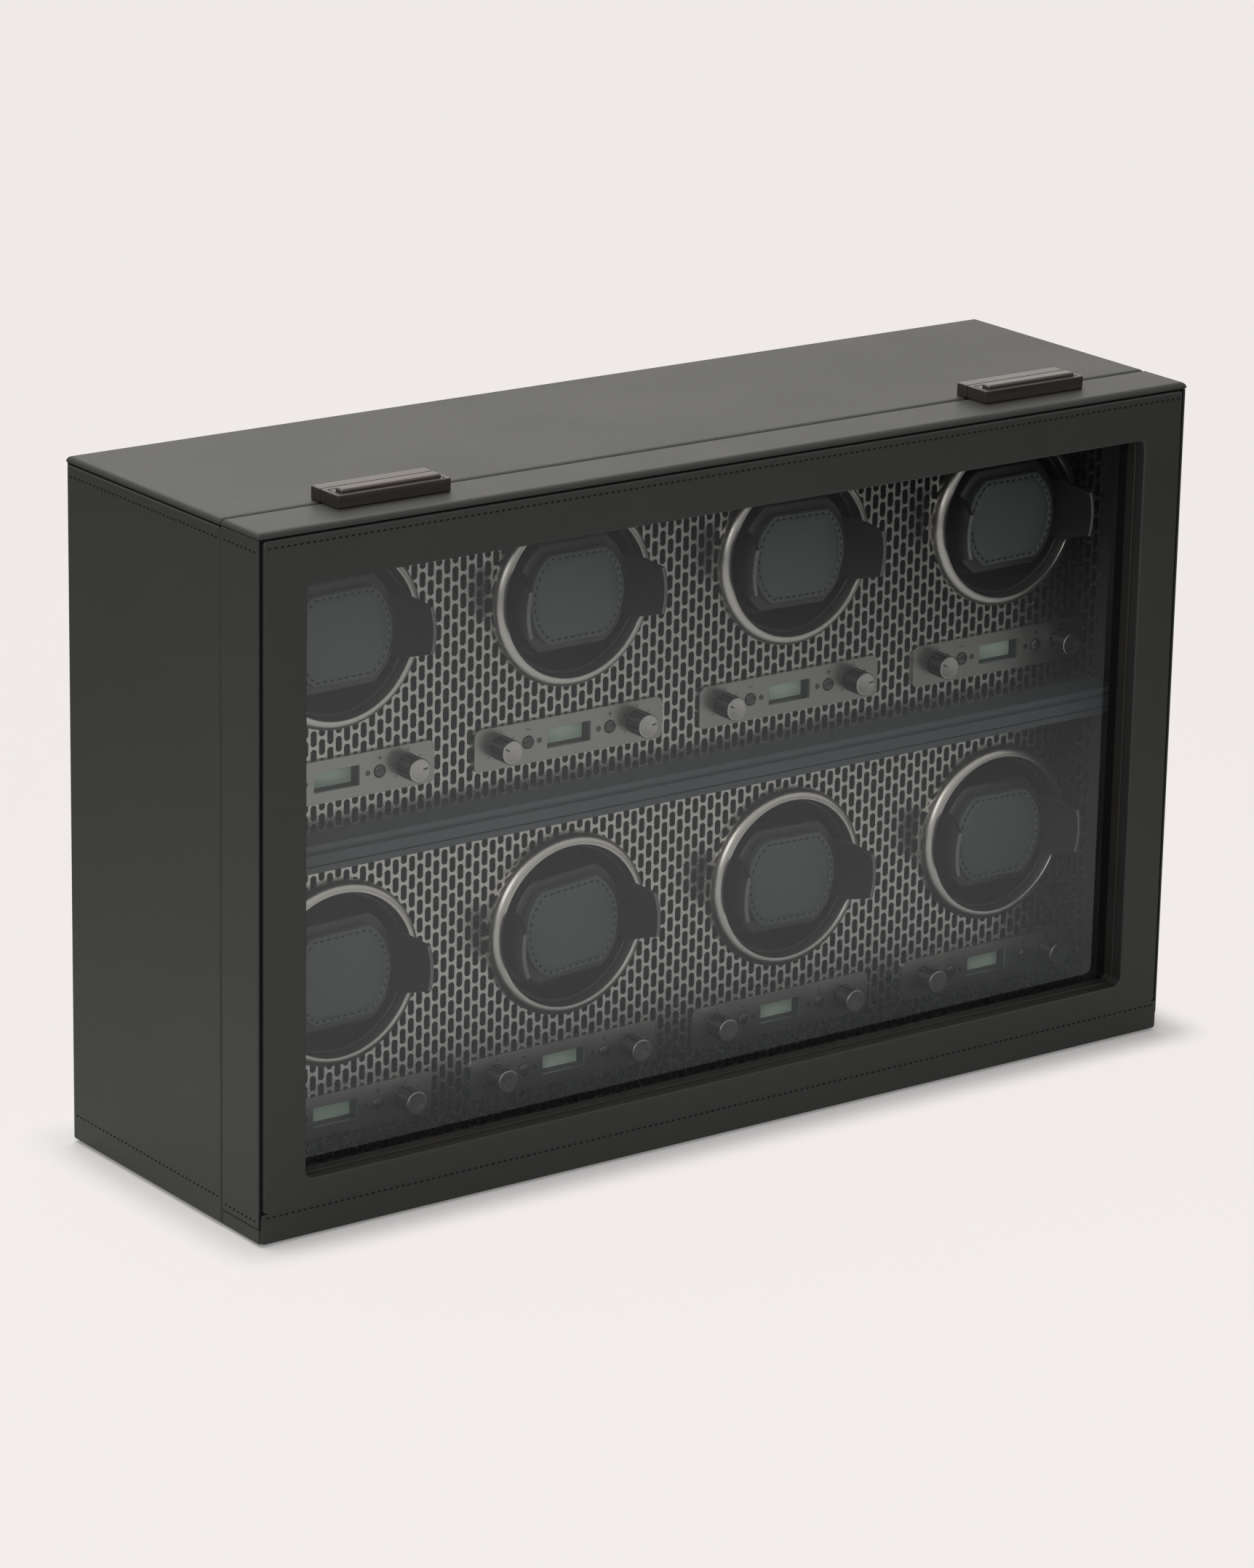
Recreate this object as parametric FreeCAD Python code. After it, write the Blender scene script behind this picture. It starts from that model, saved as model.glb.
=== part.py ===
import FreeCAD, Part
import math
import os
from FreeCAD import Vector

# An eight-place watch winder box: a leather-covered case with a glazed drop-front door.
# +X runs along the width, -Y is the front, +Z is up, and the origin is at the middle of the
# resting plane. All lengths are in millimetres.

# Case and door, overall
width = 590.0
depth = 180.0
height = 369.0
wall = 8.5
edge_radius = 1.6
foot_height = 1.5
foot_radius = 9.0
foot_inset = 30.0
seam_gap = 0.6
inner_floor = 8.5

# Drop-front door
door_depth = 34.5
door_bottom = 9.7
door_side_border = 28.0
door_top_border = 28.6
door_lower_border = 21.6
door_flange = 13.0
reveal_step_depth = 6.5
reveal_step = 1.0
door_back_border = 16.0
door_back_lower_border = 12.0
window_corner = 4.0
glass_thickness = 3.5
glass_clearance = 0.3
plinth_inset = 3.0
plinth_gap = 0.4
strip_thickness = 1.5

# Rows of winding places
places = 4
upper_gap_parts = (17.1, 15.2, 14.8)
lower_gap_parts = (12.6, 15.2, 19.3)
plate_setback = 55.0
plate_thickness = 1.5
rail_height = 15.0
rail_back = 8.0
rail_setback = 36.0
rail_lip = 3.2
rail_groove = 1.9
rail_line = 0.6
rail_lower_band = 3.4
rail_groove_depth = 1.6

# Bezel ring round each rotor
ring_outer = 49.4
ring_inner = 43.6
ring_rise = 6.8
ring_edge = 2.6
ring_lip_width = 0.8
ring_lip_drop = 0.6
ring_shoulder = 1.0
ring_shoulder_radius = 48.1
ring_spigot_outer = 44.9
ring_spigot = 3.0
spigot_clearance = 0.2

# Rotor: cup, cuff, pad and two wings, on a stub shaft
cup_radius = 42.9
cup_wall = 1.6
cup_rim_setback = 53.5
cup_depth = 35.0
cup_floor = 3.0
hub_radius = 7.0
hub_gap = 1.0
hub_hole_clearance = 1.2
shaft_radius = 4.0
shaft_length = 12.0
shaft_clearance = 0.05
cuff_radius = 35.5
cuff_half_height = 29.0
cuff_front_setback = 51.5
cuff_depth = 13.0
cuff_stem_width = 30.0
cuff_stem_height = 22.0
cuff_edge = 2.0
pad_radius = 29.7
pad_half_height = 24.0
pad_rise = 5.4
pad_crown = 1.4
wing_root_x = 34.5
wing_tip_x = 44.4
wing_tip_setback = 29.6
wing_root_half = 14.0
wing_shoulder_setback = 47.5
wing_shoulder_half = 17.6
wing_tip_half = 12.6
wing_thickness = 2.4
rest_angles = {"upper": (1.5, 0.6, -1.0, 0.8), "lower": (2.0, 5.3, -1.0, -0.7)}

# Drive behind each rotor
housing_radius = 47.0
housing_wall = 1.8
housing_gap = 2.0
housing_floor = 3.0
gearbox_radius = 18.5
gearbox_length = 24.0
motor_radius = 14.0
motor_length = 30.0
bore_spare = 1.0

# Control plate under each rotor
control_width = 118.6
control_height = 22.6
control_thickness = 2.0
control_top_corner = 9.0
control_bottom_corner = 3.0
cutout_margin = 3.0
knob_x = 43.0
button_x = 25.9
lens_x = 18.75
lcd_width = 27.4
lcd_height = 10.7
lcd_recess = 6.5
lcd_frame = 1.6
lcd_thickness = 2.4
board_setback = 65.0
board_thickness = 1.6
board_margin = 4.0

knob_radius = 6.5
knob_length = 10.6
knob_gap = 0.4
knob_flutes = 14
flute_radius = 0.75
knob_cap = 1.6
knob_cap_chamfer = 0.5
knob_shaft_radius = 3.0
knob_shaft_clearance = 0.06
knob_shaft_end_gap = 0.5
pot_size = 11.0

button_radius = 3.3
button_clearance = 0.3
button_proud = 1.5
button_flange_radius = 4.4
button_flange = 1.2
button_flange_gap = 0.3
button_dome = 0.5
button_end_gap = 1.3

lens_radius = 1.4
lens_clearance = 0.1
lens_proud = 0.2

# Back panel and its fastenings
panel_inset = 4.0
panel_thickness = 4.0
panel_clearance = 0.25
batten = 12.0
screw_columns = 4
screw_end_inset = 40.0
screw_head_radius = 3.2
screw_head = 1.6
screw_radius = 1.5
screw_length = 12.0
screw_clearance = 0.15
inlet_inset = 95.0
inlet_z = 40.0
inlet_flange = 14.0
inlet_flange_thickness = 2.0
inlet_corner = 2.3
inlet_body_radius = 5.5
inlet_length = 14.0
inlet_bore = 3.2
inlet_socket = 11.0
inlet_pin = 1.0
inlet_clearance = 0.2

# Latches on top
latch_inset = 91.0
latch_width = 67.0
latch_height = 7.0
latch_front_setback = 18.8
latch_edge = 0.6
keeper_depth = 8.0
latch_seam = 0.4
lever_width = 61.5
lever_front_setback = 21.4
lever_depth = 9.6
lever_thickness = 4.4
lever_edge = 1.1
lever_proud = 1.9
lever_pocket_clearance = 0.6
lever_pocket_floor_gap = 1.2
lever_pin_setback = 26.0
lever_pin_radius = 0.9
lever_pin_clearance = 0.05
lever_pin_length = 1.6
tongue_width = 40.0
tongue_thickness = 1.5
tongue_reach = 3.0
tongue_drop = 0.5
slot_clearance = 0.9
slot_depth_spare = 0.8
slot_floor = 1.0

# Planes and lines worked out from the driving dimensions
front = -depth / 2
back = depth / 2
case_front = front + door_depth + seam_gap
half_width = width / 2
half_inner = half_width - wall
inner_top = height - wall
plate_front = front + plate_setback
plate_back = plate_front + plate_thickness
control_front = plate_front - control_thickness
rail_middle_z = (inner_floor + inner_top) / 2
rail_low = rail_middle_z - rail_height / 2
rail_high = rail_middle_z + rail_height / 2
rail_front = front + rail_setback
panel_back = back - panel_inset
panel_front = panel_back - panel_thickness
board_front = front + board_setback
cup_back = front + cup_rim_setback + cup_depth
housing_back = cup_back + housing_gap + housing_floor
screw_spacing = (width - 2 * screw_end_inset) / (screw_columns - 1)
inlet_x = inlet_inset - half_width
latch_x = half_width - latch_inset
place_pitch = 2 * half_inner / places
plate_span = {"upper": (rail_high, inner_top), "lower": (inner_floor, rail_low)}
place_x = [(index - (places - 1) / 2) * place_pitch for index in range(places)]
forward = Vector(0, -1, 0)
backward = Vector(0, 1, 0)

# Height of the rings and control plates: the height that each row has to spare is shared out
# above the ring, between the ring and the control plate, and below the control plate.
row_z = {}
control_z = {}
for row, gap_parts in (("upper", upper_gap_parts), ("lower", lower_gap_parts)):
    row_low, row_high = plate_span[row]
    spare = row_high - row_low - 2 * ring_outer - control_height
    gap_above, gap_between, gap_below = [spare * part / sum(gap_parts) for part in gap_parts]
    row_z[row] = row_high - gap_above - ring_outer
    control_z[row] = row_low + gap_below + control_height / 2


def block(x_low, x_high, y_low, y_high, z_low, z_high):
    size = (x_high - x_low, y_high - y_low, z_high - z_low)
    return Part.makeBox(*size, Vector(x_low, y_low, z_low))


def rod(radius, x, y_low, y_high, z):
    return Part.makeCylinder(radius, y_high - y_low, Vector(x, y_low, z), backward)


def turned(points):
    # Revolves a closed (radius, y) outline about the Y axis.
    corners = [Vector(radius, y, 0) for radius, y in points]
    face = Part.Face(Part.makePolygon(corners + corners[:1]))
    return face.revolve(Vector(0, 0, 0), backward, 360)


def edges_along(shape, axis):
    # Straight edges parallel to one axis.
    found = []
    for edge in shape.Edges:
        if isinstance(edge.Curve, Part.Line) and abs(abs(edge.Curve.Direction.dot(axis)) - 1) < 1e-6:
            found.append(edge)
    return found


def rounded_window(half_x, y_low, y_high, z_low, z_high, radius):
    opening = block(-half_x, half_x, y_low, y_high, z_low, z_high)
    return opening.makeFillet(radius, edges_along(opening, backward))


def each_place():
    # Row name, place number and centre of every winding place.
    for row in ("upper", "lower"):
        for number, x in enumerate(place_x, 1):
            yield row, number, x, row_z[row]


def group(shapes):
    return Part.makeCompound(shapes)


def case_carcass():
    shell = block(-half_width, half_width, case_front, back, foot_height, height)
    outer_edges = edges_along(shell, backward)
    shell = shell.makeFillet(edge_radius, outer_edges)
    cavity = block(-half_inner, half_inner, case_front, back, inner_floor, inner_top)
    half_plinth = half_width - plinth_inset
    plinth_top = door_bottom - plinth_gap
    plinth = block(-half_plinth, half_plinth, front + strip_thickness, case_front, foot_height, plinth_top)
    shell = shell.cut(cavity).fuse(plinth)
    for z_low in (inner_floor, inner_top - batten):
        bar = block(-half_inner, half_inner, panel_front - batten, panel_front, z_low, z_low + batten)
        shell = shell.fuse(bar)
    for x, z in screw_places():
        hole_radius = screw_radius + screw_clearance
        shell = shell.cut(rod(hole_radius, x, panel_front - batten, panel_front, z))
    return shell.removeSplitter()


def screw_places():
    # Two rows of screws, one into each batten.
    for column in range(screw_columns):
        x = (column - (screw_columns - 1) / 2) * screw_spacing
        for z in (inner_floor + batten / 2, inner_top - batten / 2):
            yield x, z


def back_panel():
    half_x = half_inner - panel_clearance
    z_low = inner_floor + panel_clearance
    z_high = inner_top - panel_clearance
    panel = block(-half_x, half_x, panel_front, panel_back, z_low, z_high)
    for x, z in screw_places():
        panel = panel.cut(rod(screw_radius + screw_clearance, x, panel_front, panel_back, z))
    inlet_hole = rod(inlet_body_radius + inlet_clearance, inlet_x, panel_front, panel_back, inlet_z)
    return panel.cut(inlet_hole)


def back_screws():
    screws = []
    for x, z in screw_places():
        head = rod(screw_head_radius, x, panel_back, panel_back + screw_head, z)
        shank = rod(screw_radius, x, panel_back - screw_length, panel_back, z)
        screws.append(head.fuse(shank).removeSplitter())
    return group(screws)


def dc_inlet():
    flange_back = panel_back + inlet_flange_thickness
    half = inlet_flange / 2
    flange = block(inlet_x - half, inlet_x + half, panel_back, flange_back, inlet_z - half, inlet_z + half)
    flange = flange.makeFillet(inlet_corner, edges_along(flange, backward))
    barrel = rod(inlet_body_radius, inlet_x, flange_back - inlet_length, panel_back, inlet_z)
    socket = rod(inlet_bore, inlet_x, flange_back - inlet_socket, flange_back, inlet_z)
    pin = rod(inlet_pin, inlet_x, flange_back - inlet_length, flange_back - inlet_flange_thickness, inlet_z)
    return flange.fuse(barrel).cut(socket).fuse(pin).removeSplitter()


def feet():
    discs = []
    for x in (-half_width + foot_inset, half_width - foot_inset):
        for y in (front + foot_inset, back - foot_inset):
            discs.append(Part.makeCylinder(foot_radius, foot_height, Vector(x, y, 0)))
    return group(discs)


def divider_rail():
    # The shelf between the rows; its front edge has a wide groove and a fine line.
    tail = plate_back + rail_back
    groove_high = rail_high - rail_lip
    groove_low = groove_high - rail_groove
    line_low = rail_low + rail_lower_band
    line_high = line_low + rail_line
    inner = rail_front + rail_groove_depth
    outline = [
        (tail, rail_low), (rail_front, rail_low),
        (rail_front, line_low), (inner, line_low), (inner, line_high), (rail_front, line_high),
        (rail_front, groove_low), (inner, groove_low), (inner, groove_high), (rail_front, groove_high),
        (rail_front, rail_high), (tail, rail_high),
    ]
    corners = [Vector(-half_inner, y, z) for y, z in outline]
    section = Part.Face(Part.makePolygon(corners + corners[:1]))
    return section.extrude(Vector(2 * half_inner, 0, 0))


def face_plates():
    plates = []
    for row in ("upper", "lower"):
        low, high = plate_span[row]
        plate = block(-half_inner, half_inner, plate_front, plate_back, low, high)
        for x in place_x:
            hole = rod(ring_spigot_outer + spigot_clearance, x, plate_front, plate_back, row_z[row])
            plate = plate.cut(hole).cut(control_cutout(x, control_z[row]))
        plates.append(plate)
    return group(plates)


def control_cutout(x, z):
    half_x = control_width / 2 - cutout_margin
    half_z = control_height / 2 - cutout_margin
    return block(x - half_x, x + half_x, plate_front, plate_back, z - half_z, z + half_z)


def bezel_ring():
    # Outer edge, domed face, thin inner lip and a rear spigot that centres it in the plate.
    lip_front = plate_front - ring_rise
    edge_front = plate_front - ring_edge
    spigot_back = plate_front + ring_spigot
    start = Vector(ring_outer, edge_front, 0)
    crown = Vector(ring_shoulder_radius, lip_front + ring_shoulder, 0)
    end = Vector(ring_inner + ring_lip_width, lip_front, 0)
    path = [
        Vector(ring_inner, lip_front + ring_lip_drop, 0), Vector(ring_inner, spigot_back, 0),
        Vector(ring_spigot_outer, spigot_back, 0), Vector(ring_spigot_outer, plate_front, 0),
        Vector(ring_outer, plate_front, 0), start,
    ]
    edges = [Part.LineSegment(a, b).toShape() for a, b in zip(path, path[1:])]
    edges.append(Part.Arc(start, crown, end).toShape())
    edges.append(Part.LineSegment(end, path[0]).toShape())
    return Part.Face(Part.Wire(edges)).revolve(Vector(0, 0, 0), backward, 360)


def bezel_rings():
    ring = bezel_ring()
    return group([ring.translated(Vector(x, 0, z)) for row, number, x, z in each_place()])


def flat_sided_disc(radius, half_height, y_low, y_high):
    # A round plate with its top and bottom cut straight.
    disc = rod(radius, 0, y_low, y_high, 0)
    band = block(-radius, radius, y_low, y_high, -half_height, half_height)
    return disc.common(band)


def winding_cup():
    rim = front + cup_rim_setback
    floor = cup_back - cup_floor
    hub_back = housing_back - hub_gap
    shaft_back = housing_back + shaft_length
    outline = [
        (0, floor), (cup_radius - cup_wall, floor), (cup_radius - cup_wall, rim), (cup_radius, rim),
        (cup_radius, cup_back), (hub_radius, cup_back), (hub_radius, hub_back),
        (shaft_radius, hub_back), (shaft_radius, shaft_back), (0, shaft_back),
    ]
    return turned(outline)


def cuff_body():
    y_low = front + cuff_front_setback
    body = flat_sided_disc(cuff_radius, cuff_half_height, y_low, y_low + cuff_depth)
    rear = [edge for edge in body.Edges if abs(edge.BoundBox.YMin - y_low - cuff_depth) < 1e-6]
    body = body.makeChamfer(cuff_edge, rear)
    half_x = cuff_stem_width / 2
    half_z = cuff_stem_height / 2
    stem = block(-half_x, half_x, y_low + cuff_depth, cup_back - cup_floor, -half_z, half_z)
    return body.fuse(stem).removeSplitter()


def cuff_pad():
    # A thin leather pad with a crowned face.
    y_high = front + cuff_front_setback
    y_low = y_high - pad_rise
    blank = flat_sided_disc(pad_radius, pad_half_height, y_low, y_high)
    ball_radius = (pad_radius ** 2 + pad_crown ** 2) / (2 * pad_crown)
    ball = Part.makeSphere(ball_radius, Vector(0, y_low + ball_radius, 0))
    return blank.common(ball)


def cuff_wing(side):
    # A tapering blade, curved about the rotor's axis, that leans outward to the front.
    root_y = front + cuff_front_setback + cuff_depth - cuff_edge
    shoulder_y = front + wing_shoulder_setback
    tip_y = front + wing_tip_setback
    cone = turned([
        (wing_root_x - wing_thickness, root_y), (wing_root_x, root_y),
        (wing_tip_x, tip_y), (wing_tip_x - wing_thickness, tip_y),
    ])
    outline = [
        (root_y, wing_root_half), (shoulder_y, wing_shoulder_half), (tip_y, wing_tip_half),
        (tip_y, -wing_tip_half), (shoulder_y, -wing_shoulder_half), (root_y, -wing_root_half),
    ]
    corners = [Vector(0, y, z) for y, z in outline]
    profile = Part.Face(Part.makePolygon(corners + corners[:1]))
    return cone.common(profile.extrude(Vector(side * 2 * wing_tip_x, 0, 0)))


def rotor(row, number, x, z):
    cup = winding_cup()
    cuff = cuff_body()
    for side in (-1, 1):
        cuff = cuff.fuse(cuff_wing(side))
    unit = group([cup, cuff.removeSplitter(), cuff_pad()])
    # Seen from the front a positive rest angle lifts the right wing.
    unit.rotate(Vector(0, 0, 0), forward, rest_angles[row][number - 1])
    return unit.translated(Vector(x, 0, z))


def rotor_housings():
    inner_radius = housing_radius - housing_wall
    hole_radius = hub_radius + hub_hole_clearance
    floor_front = housing_back - housing_floor
    outline = [
        (hole_radius, floor_front), (inner_radius, floor_front), (inner_radius, plate_back),
        (housing_radius, plate_back), (housing_radius, housing_back), (hole_radius, housing_back),
    ]
    housing = turned(outline)
    return group([housing.translated(Vector(x, 0, z)) for row, number, x, z in each_place()])


def gear_motors():
    bore = shaft_radius + shaft_clearance
    gearbox_back = housing_back + gearbox_length
    motor_back = gearbox_back + motor_length
    bore_back = housing_back + shaft_length + bore_spare
    outline = [
        (bore, housing_back), (gearbox_radius, housing_back), (gearbox_radius, gearbox_back),
        (motor_radius, gearbox_back), (motor_radius, motor_back), (0, motor_back), (0, bore_back),
        (bore, bore_back),
    ]
    motor = turned(outline)
    return group([motor.translated(Vector(x, 0, z)) for row, number, x, z in each_place()])


def control_outline():
    # Flat-based plate with wide-radius upper corners.
    half_x = control_width / 2
    half_z = control_height / 2
    plate = block(-half_x, half_x, control_front, plate_front, -half_z, half_z)
    corners = edges_along(plate, backward)
    upper = [edge for edge in corners if edge.BoundBox.ZMin > 0]
    plate = plate.makeFillet(control_top_corner, upper)
    lower = [edge for edge in edges_along(plate, backward) if edge.BoundBox.ZMax < 0]
    return plate.makeFillet(control_bottom_corner, lower)


def control_plate():
    plate = control_outline()
    window = block(-lcd_width / 2, lcd_width / 2, control_front, plate_front, -lcd_height / 2, lcd_height / 2)
    plate = plate.cut(window)
    for side in (-1, 1):
        for x, radius in ((knob_x, knob_shaft_radius + 2 * knob_shaft_clearance),
                          (button_x, button_radius + button_clearance),
                          (lens_x, lens_radius + lens_clearance)):
            plate = plate.cut(rod(radius, side * x, control_front, plate_front, 0))
    return plate


def control_plates():
    plate = control_plate()
    return group([plate.translated(Vector(x, 0, control_z[row])) for row, number, x, z in each_place()])


def control_boards():
    # Circuit board carried by two panel-mounted potentiometers, with the display module on it.
    half_x = control_width / 2 - board_margin
    half_z = control_height / 2 - board_margin
    half_pot = pot_size / 2
    board = block(-half_x, half_x, board_front, board_front + board_thickness, -half_z, half_z)
    for side in (-1, 1):
        x = side * knob_x
        pot = block(x - half_pot, x + half_pot, plate_front, board_front, -half_pot, half_pot)
        bore = rod(knob_shaft_radius + knob_shaft_clearance, x, plate_front, board_front, 0)
        board = board.fuse(pot.cut(bore))
    lcd_front = plate_front + lcd_recess
    half_lcd = lcd_width / 2 + lcd_frame
    half_lcd_z = lcd_height / 2 + lcd_frame
    lcd = block(-half_lcd, half_lcd, lcd_front, lcd_front + lcd_thickness, -half_lcd_z, half_lcd_z)
    post_x = half_lcd / 2
    post_z = half_lcd_z / 2
    post = block(-post_x, post_x, lcd_front + lcd_thickness, board_front, -post_z, post_z)
    board = board.fuse(post).removeSplitter()
    boards = []
    for row, number, x, z in each_place():
        place = Vector(x, 0, control_z[row])
        boards.append(board.translated(place))
        boards.append(lcd.translated(place))
    return group(boards)


def indicator_lenses():
    lenses = []
    for row, number, x, z in each_place():
        for side in (-1, 1):
            lens_front = control_front - lens_proud
            lenses.append(rod(lens_radius, x + side * lens_x, lens_front, board_front, control_z[row]))
    return group(lenses)


def knob():
    # Fluted skirt, bevelled cap and a plain shaft.
    base = control_front - knob_gap
    nose = base - knob_length
    skirt = rod(knob_radius, 0, nose + knob_cap, base, 0)
    for index in range(knob_flutes):
        turn = 2 * math.pi * index / knob_flutes
        x = knob_radius * math.cos(turn)
        z = knob_radius * math.sin(turn)
        skirt = skirt.cut(rod(flute_radius, x, nose + knob_cap, base, z))
    cap = rod(knob_radius, 0, nose, nose + knob_cap, 0)
    rim = [edge for edge in cap.Edges if abs(edge.BoundBox.YMax - nose) < 1e-6]
    cap = cap.makeChamfer(knob_cap_chamfer, rim)
    shaft = rod(knob_shaft_radius, 0, base, board_front - knob_shaft_end_gap, 0)
    return skirt.fuse(cap).fuse(shaft).removeSplitter()


def button():
    # Domed cap, retaining flange behind the plate and a stem that meets its switch.
    nose = control_front - button_proud
    flange_front = plate_front + button_flange_gap
    flange_back = flange_front + button_flange
    stem_back = board_front - button_end_gap
    outline = [
        Vector(0, stem_back, 0), Vector(button_radius, stem_back, 0), Vector(button_radius, flange_back, 0),
        Vector(button_flange_radius, flange_back, 0), Vector(button_flange_radius, flange_front, 0),
        Vector(button_radius, flange_front, 0), Vector(button_radius, nose + button_dome, 0),
    ]
    edges = [Part.LineSegment(a, b).toShape() for a, b in zip(outline, outline[1:])]
    ball_radius = (button_radius ** 2 + button_dome ** 2) / (2 * button_dome)
    half = button_radius / 2
    middle = Vector(half, nose + ball_radius - math.sqrt(ball_radius ** 2 - half ** 2), 0)
    tip = Vector(0, nose, 0)
    edges.append(Part.Arc(outline[-1], middle, tip).toShape())
    edges.append(Part.LineSegment(tip, outline[0]).toShape())
    return Part.Face(Part.Wire(edges)).revolve(Vector(0, 0, 0), backward, 360)


def door_frame():
    door_back = front + door_depth
    half_window = half_width - door_side_border
    window_low = door_bottom + door_lower_border
    window_high = height - door_top_border
    flange_back = front + door_flange
    frame = block(-half_width, half_width, front, door_back, door_bottom, height)
    frame = frame.makeFillet(edge_radius, edges_along(frame, backward))
    frame = frame.cut(rounded_window(half_window, front, front + reveal_step_depth,
                                     window_low, window_high, window_corner))
    frame = frame.cut(rounded_window(half_window - reveal_step, front, flange_back, window_low + reveal_step,
                                     window_high - reveal_step, window_corner - reveal_step))
    half_back = half_width - door_back_border
    pocket = block(-half_back, half_back, flange_back, door_back, door_bottom + door_back_lower_border,
                   height - door_back_border)
    return frame.cut(pocket)


def door_glass():
    half_x = half_width - door_back_border - glass_clearance
    z_low = door_bottom + door_back_lower_border + glass_clearance
    z_high = height - door_back_border - glass_clearance
    flange_back = front + door_flange
    return block(-half_x, half_x, flange_back, flange_back + glass_thickness, z_low, z_high)


def hinge_strip():
    half_x = half_width - plinth_inset
    return block(-half_x, half_x, front, front + strip_thickness, foot_height, door_bottom - plinth_gap)


def latch_block(x, y_low, y_high):
    half_x = latch_width / 2
    blank = block(x - half_x, x + half_x, y_low, y_high, height, height + latch_height)
    top = [edge for edge in blank.Edges if edge.BoundBox.ZMin > height + latch_height - 1e-6]
    return blank.makeChamfer(latch_edge, top)


lever_top = height + latch_height + lever_proud
lever_low = lever_top - lever_thickness
lever_front = front + lever_front_setback
lever_back = lever_front + lever_depth
pin_y = front + lever_pin_setback
pin_z = lever_low + lever_thickness / 2
seam_middle = front + door_depth + seam_gap / 2
tongue_root = lever_back - lever_depth / 3
tongue_back = seam_middle + latch_seam / 2 + tongue_reach
tongue_high = lever_low + tongue_drop
tongue_low = tongue_high - tongue_thickness


def latch_bodies():
    # Front half of each latch, with a pocket for the lever, a way out for its tongue and pin bores.
    bodies = []
    for x in (-latch_x, latch_x):
        body = latch_block(x, front + latch_front_setback, seam_middle - latch_seam / 2)
        half_pocket = lever_width / 2 + lever_pocket_clearance
        floor = lever_low - lever_pocket_floor_gap
        body = body.cut(block(x - half_pocket, x + half_pocket, lever_front - lever_pocket_clearance,
                              lever_back + lever_pocket_clearance, floor, lever_top))
        half_way = tongue_width / 2 + lever_pocket_clearance
        body = body.cut(block(x - half_way, x + half_way, tongue_root - lever_pocket_clearance, seam_middle,
                              height + slot_floor, tongue_high + slot_clearance))
        reach = half_pocket + lever_pin_length
        pin_hole = Part.makeCylinder(lever_pin_radius + lever_pin_clearance, 2 * reach,
                                     Vector(x - reach, pin_y, pin_z), Vector(1, 0, 0))
        bodies.append(body.cut(pin_hole))
    return group(bodies)


def latch_keepers():
    # Rear half of each latch, with an open-fronted slot for the tongue.
    keepers = []
    for x in (-latch_x, latch_x):
        keeper_front = seam_middle + latch_seam / 2
        keeper = latch_block(x, keeper_front, keeper_front + keeper_depth)
        half_slot = tongue_width / 2 + lever_pocket_clearance
        slot = block(x - half_slot, x + half_slot, keeper_front, tongue_back + slot_depth_spare,
                     height + slot_floor, tongue_high + slot_clearance)
        keepers.append(keeper.cut(slot))
    return group(keepers)


def latch_lever(x):
    # Finger bar with a rear tongue, on a pin that runs across the latch.
    half_x = lever_width / 2
    bar = block(x - half_x, x + half_x, lever_front, lever_back, lever_low, lever_top)
    bar = bar.makeFillet(lever_edge, [e for e in bar.Edges if e.BoundBox.ZMin > lever_top - 1e-6])
    half_tongue = tongue_width / 2
    tongue = block(x - half_tongue, x + half_tongue, tongue_root, tongue_back, tongue_low, tongue_high)
    reach = half_x + lever_pin_length
    pin = Part.makeCylinder(lever_pin_radius, 2 * reach, Vector(x - reach, pin_y, pin_z), Vector(1, 0, 0))
    return bar.fuse(tongue).fuse(pin).removeSplitter()


def all_nodes():
    nodes = {
        "case_carcass": case_carcass(),
        "back_panel": back_panel(),
        "back_screws": back_screws(),
        "dc_inlet": dc_inlet(),
        "feet": feet(),
        "divider_rail": divider_rail(),
        "face_plates": face_plates(),
        "bezel_rings": bezel_rings(),
        "rotor_housings": rotor_housings(),
        "gear_motors": gear_motors(),
        "control_plates": control_plates(),
        "control_boards": control_boards(),
        "indicator_lenses": indicator_lenses(),
        "latch_keepers": latch_keepers(),
        "hinge_strip": hinge_strip(),
        "door_frame": door_frame(),
        "door_glass": door_glass(),
        "latch_bodies": latch_bodies(),
        "latch_lever_left": latch_lever(-latch_x),
        "latch_lever_right": latch_lever(latch_x),
    }
    one_knob = knob()
    one_button = button()
    for row, number, x, z in each_place():
        nodes[f"rotor_{row}_{number}"] = rotor(row, number, x, z)
        for side, name in ((-1, "left"), (1, "right")):
            place = Vector(x + side * knob_x, 0, control_z[row])
            nodes[f"knob_{row}_{number}_{name}"] = one_knob.translated(place)
        for side, name in ((-1, "minus"), (1, "plus")):
            place = Vector(x + side * button_x, 0, control_z[row])
            nodes[f"button_{row}_{number}_{name}"] = one_button.translated(place)
    return nodes


os.makedirs("parts", exist_ok=True)
for name, shape in all_nodes().items():
    shape.exportStep(f"parts/{name}.step")
    state = "valid" if shape.isValid() else "INVALID"
    print(name, len(shape.Solids), "solids", round(shape.Volume), "mm3", state)
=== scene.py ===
import math

import bmesh
import bpy
from mathutils import Matrix, Vector


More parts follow.
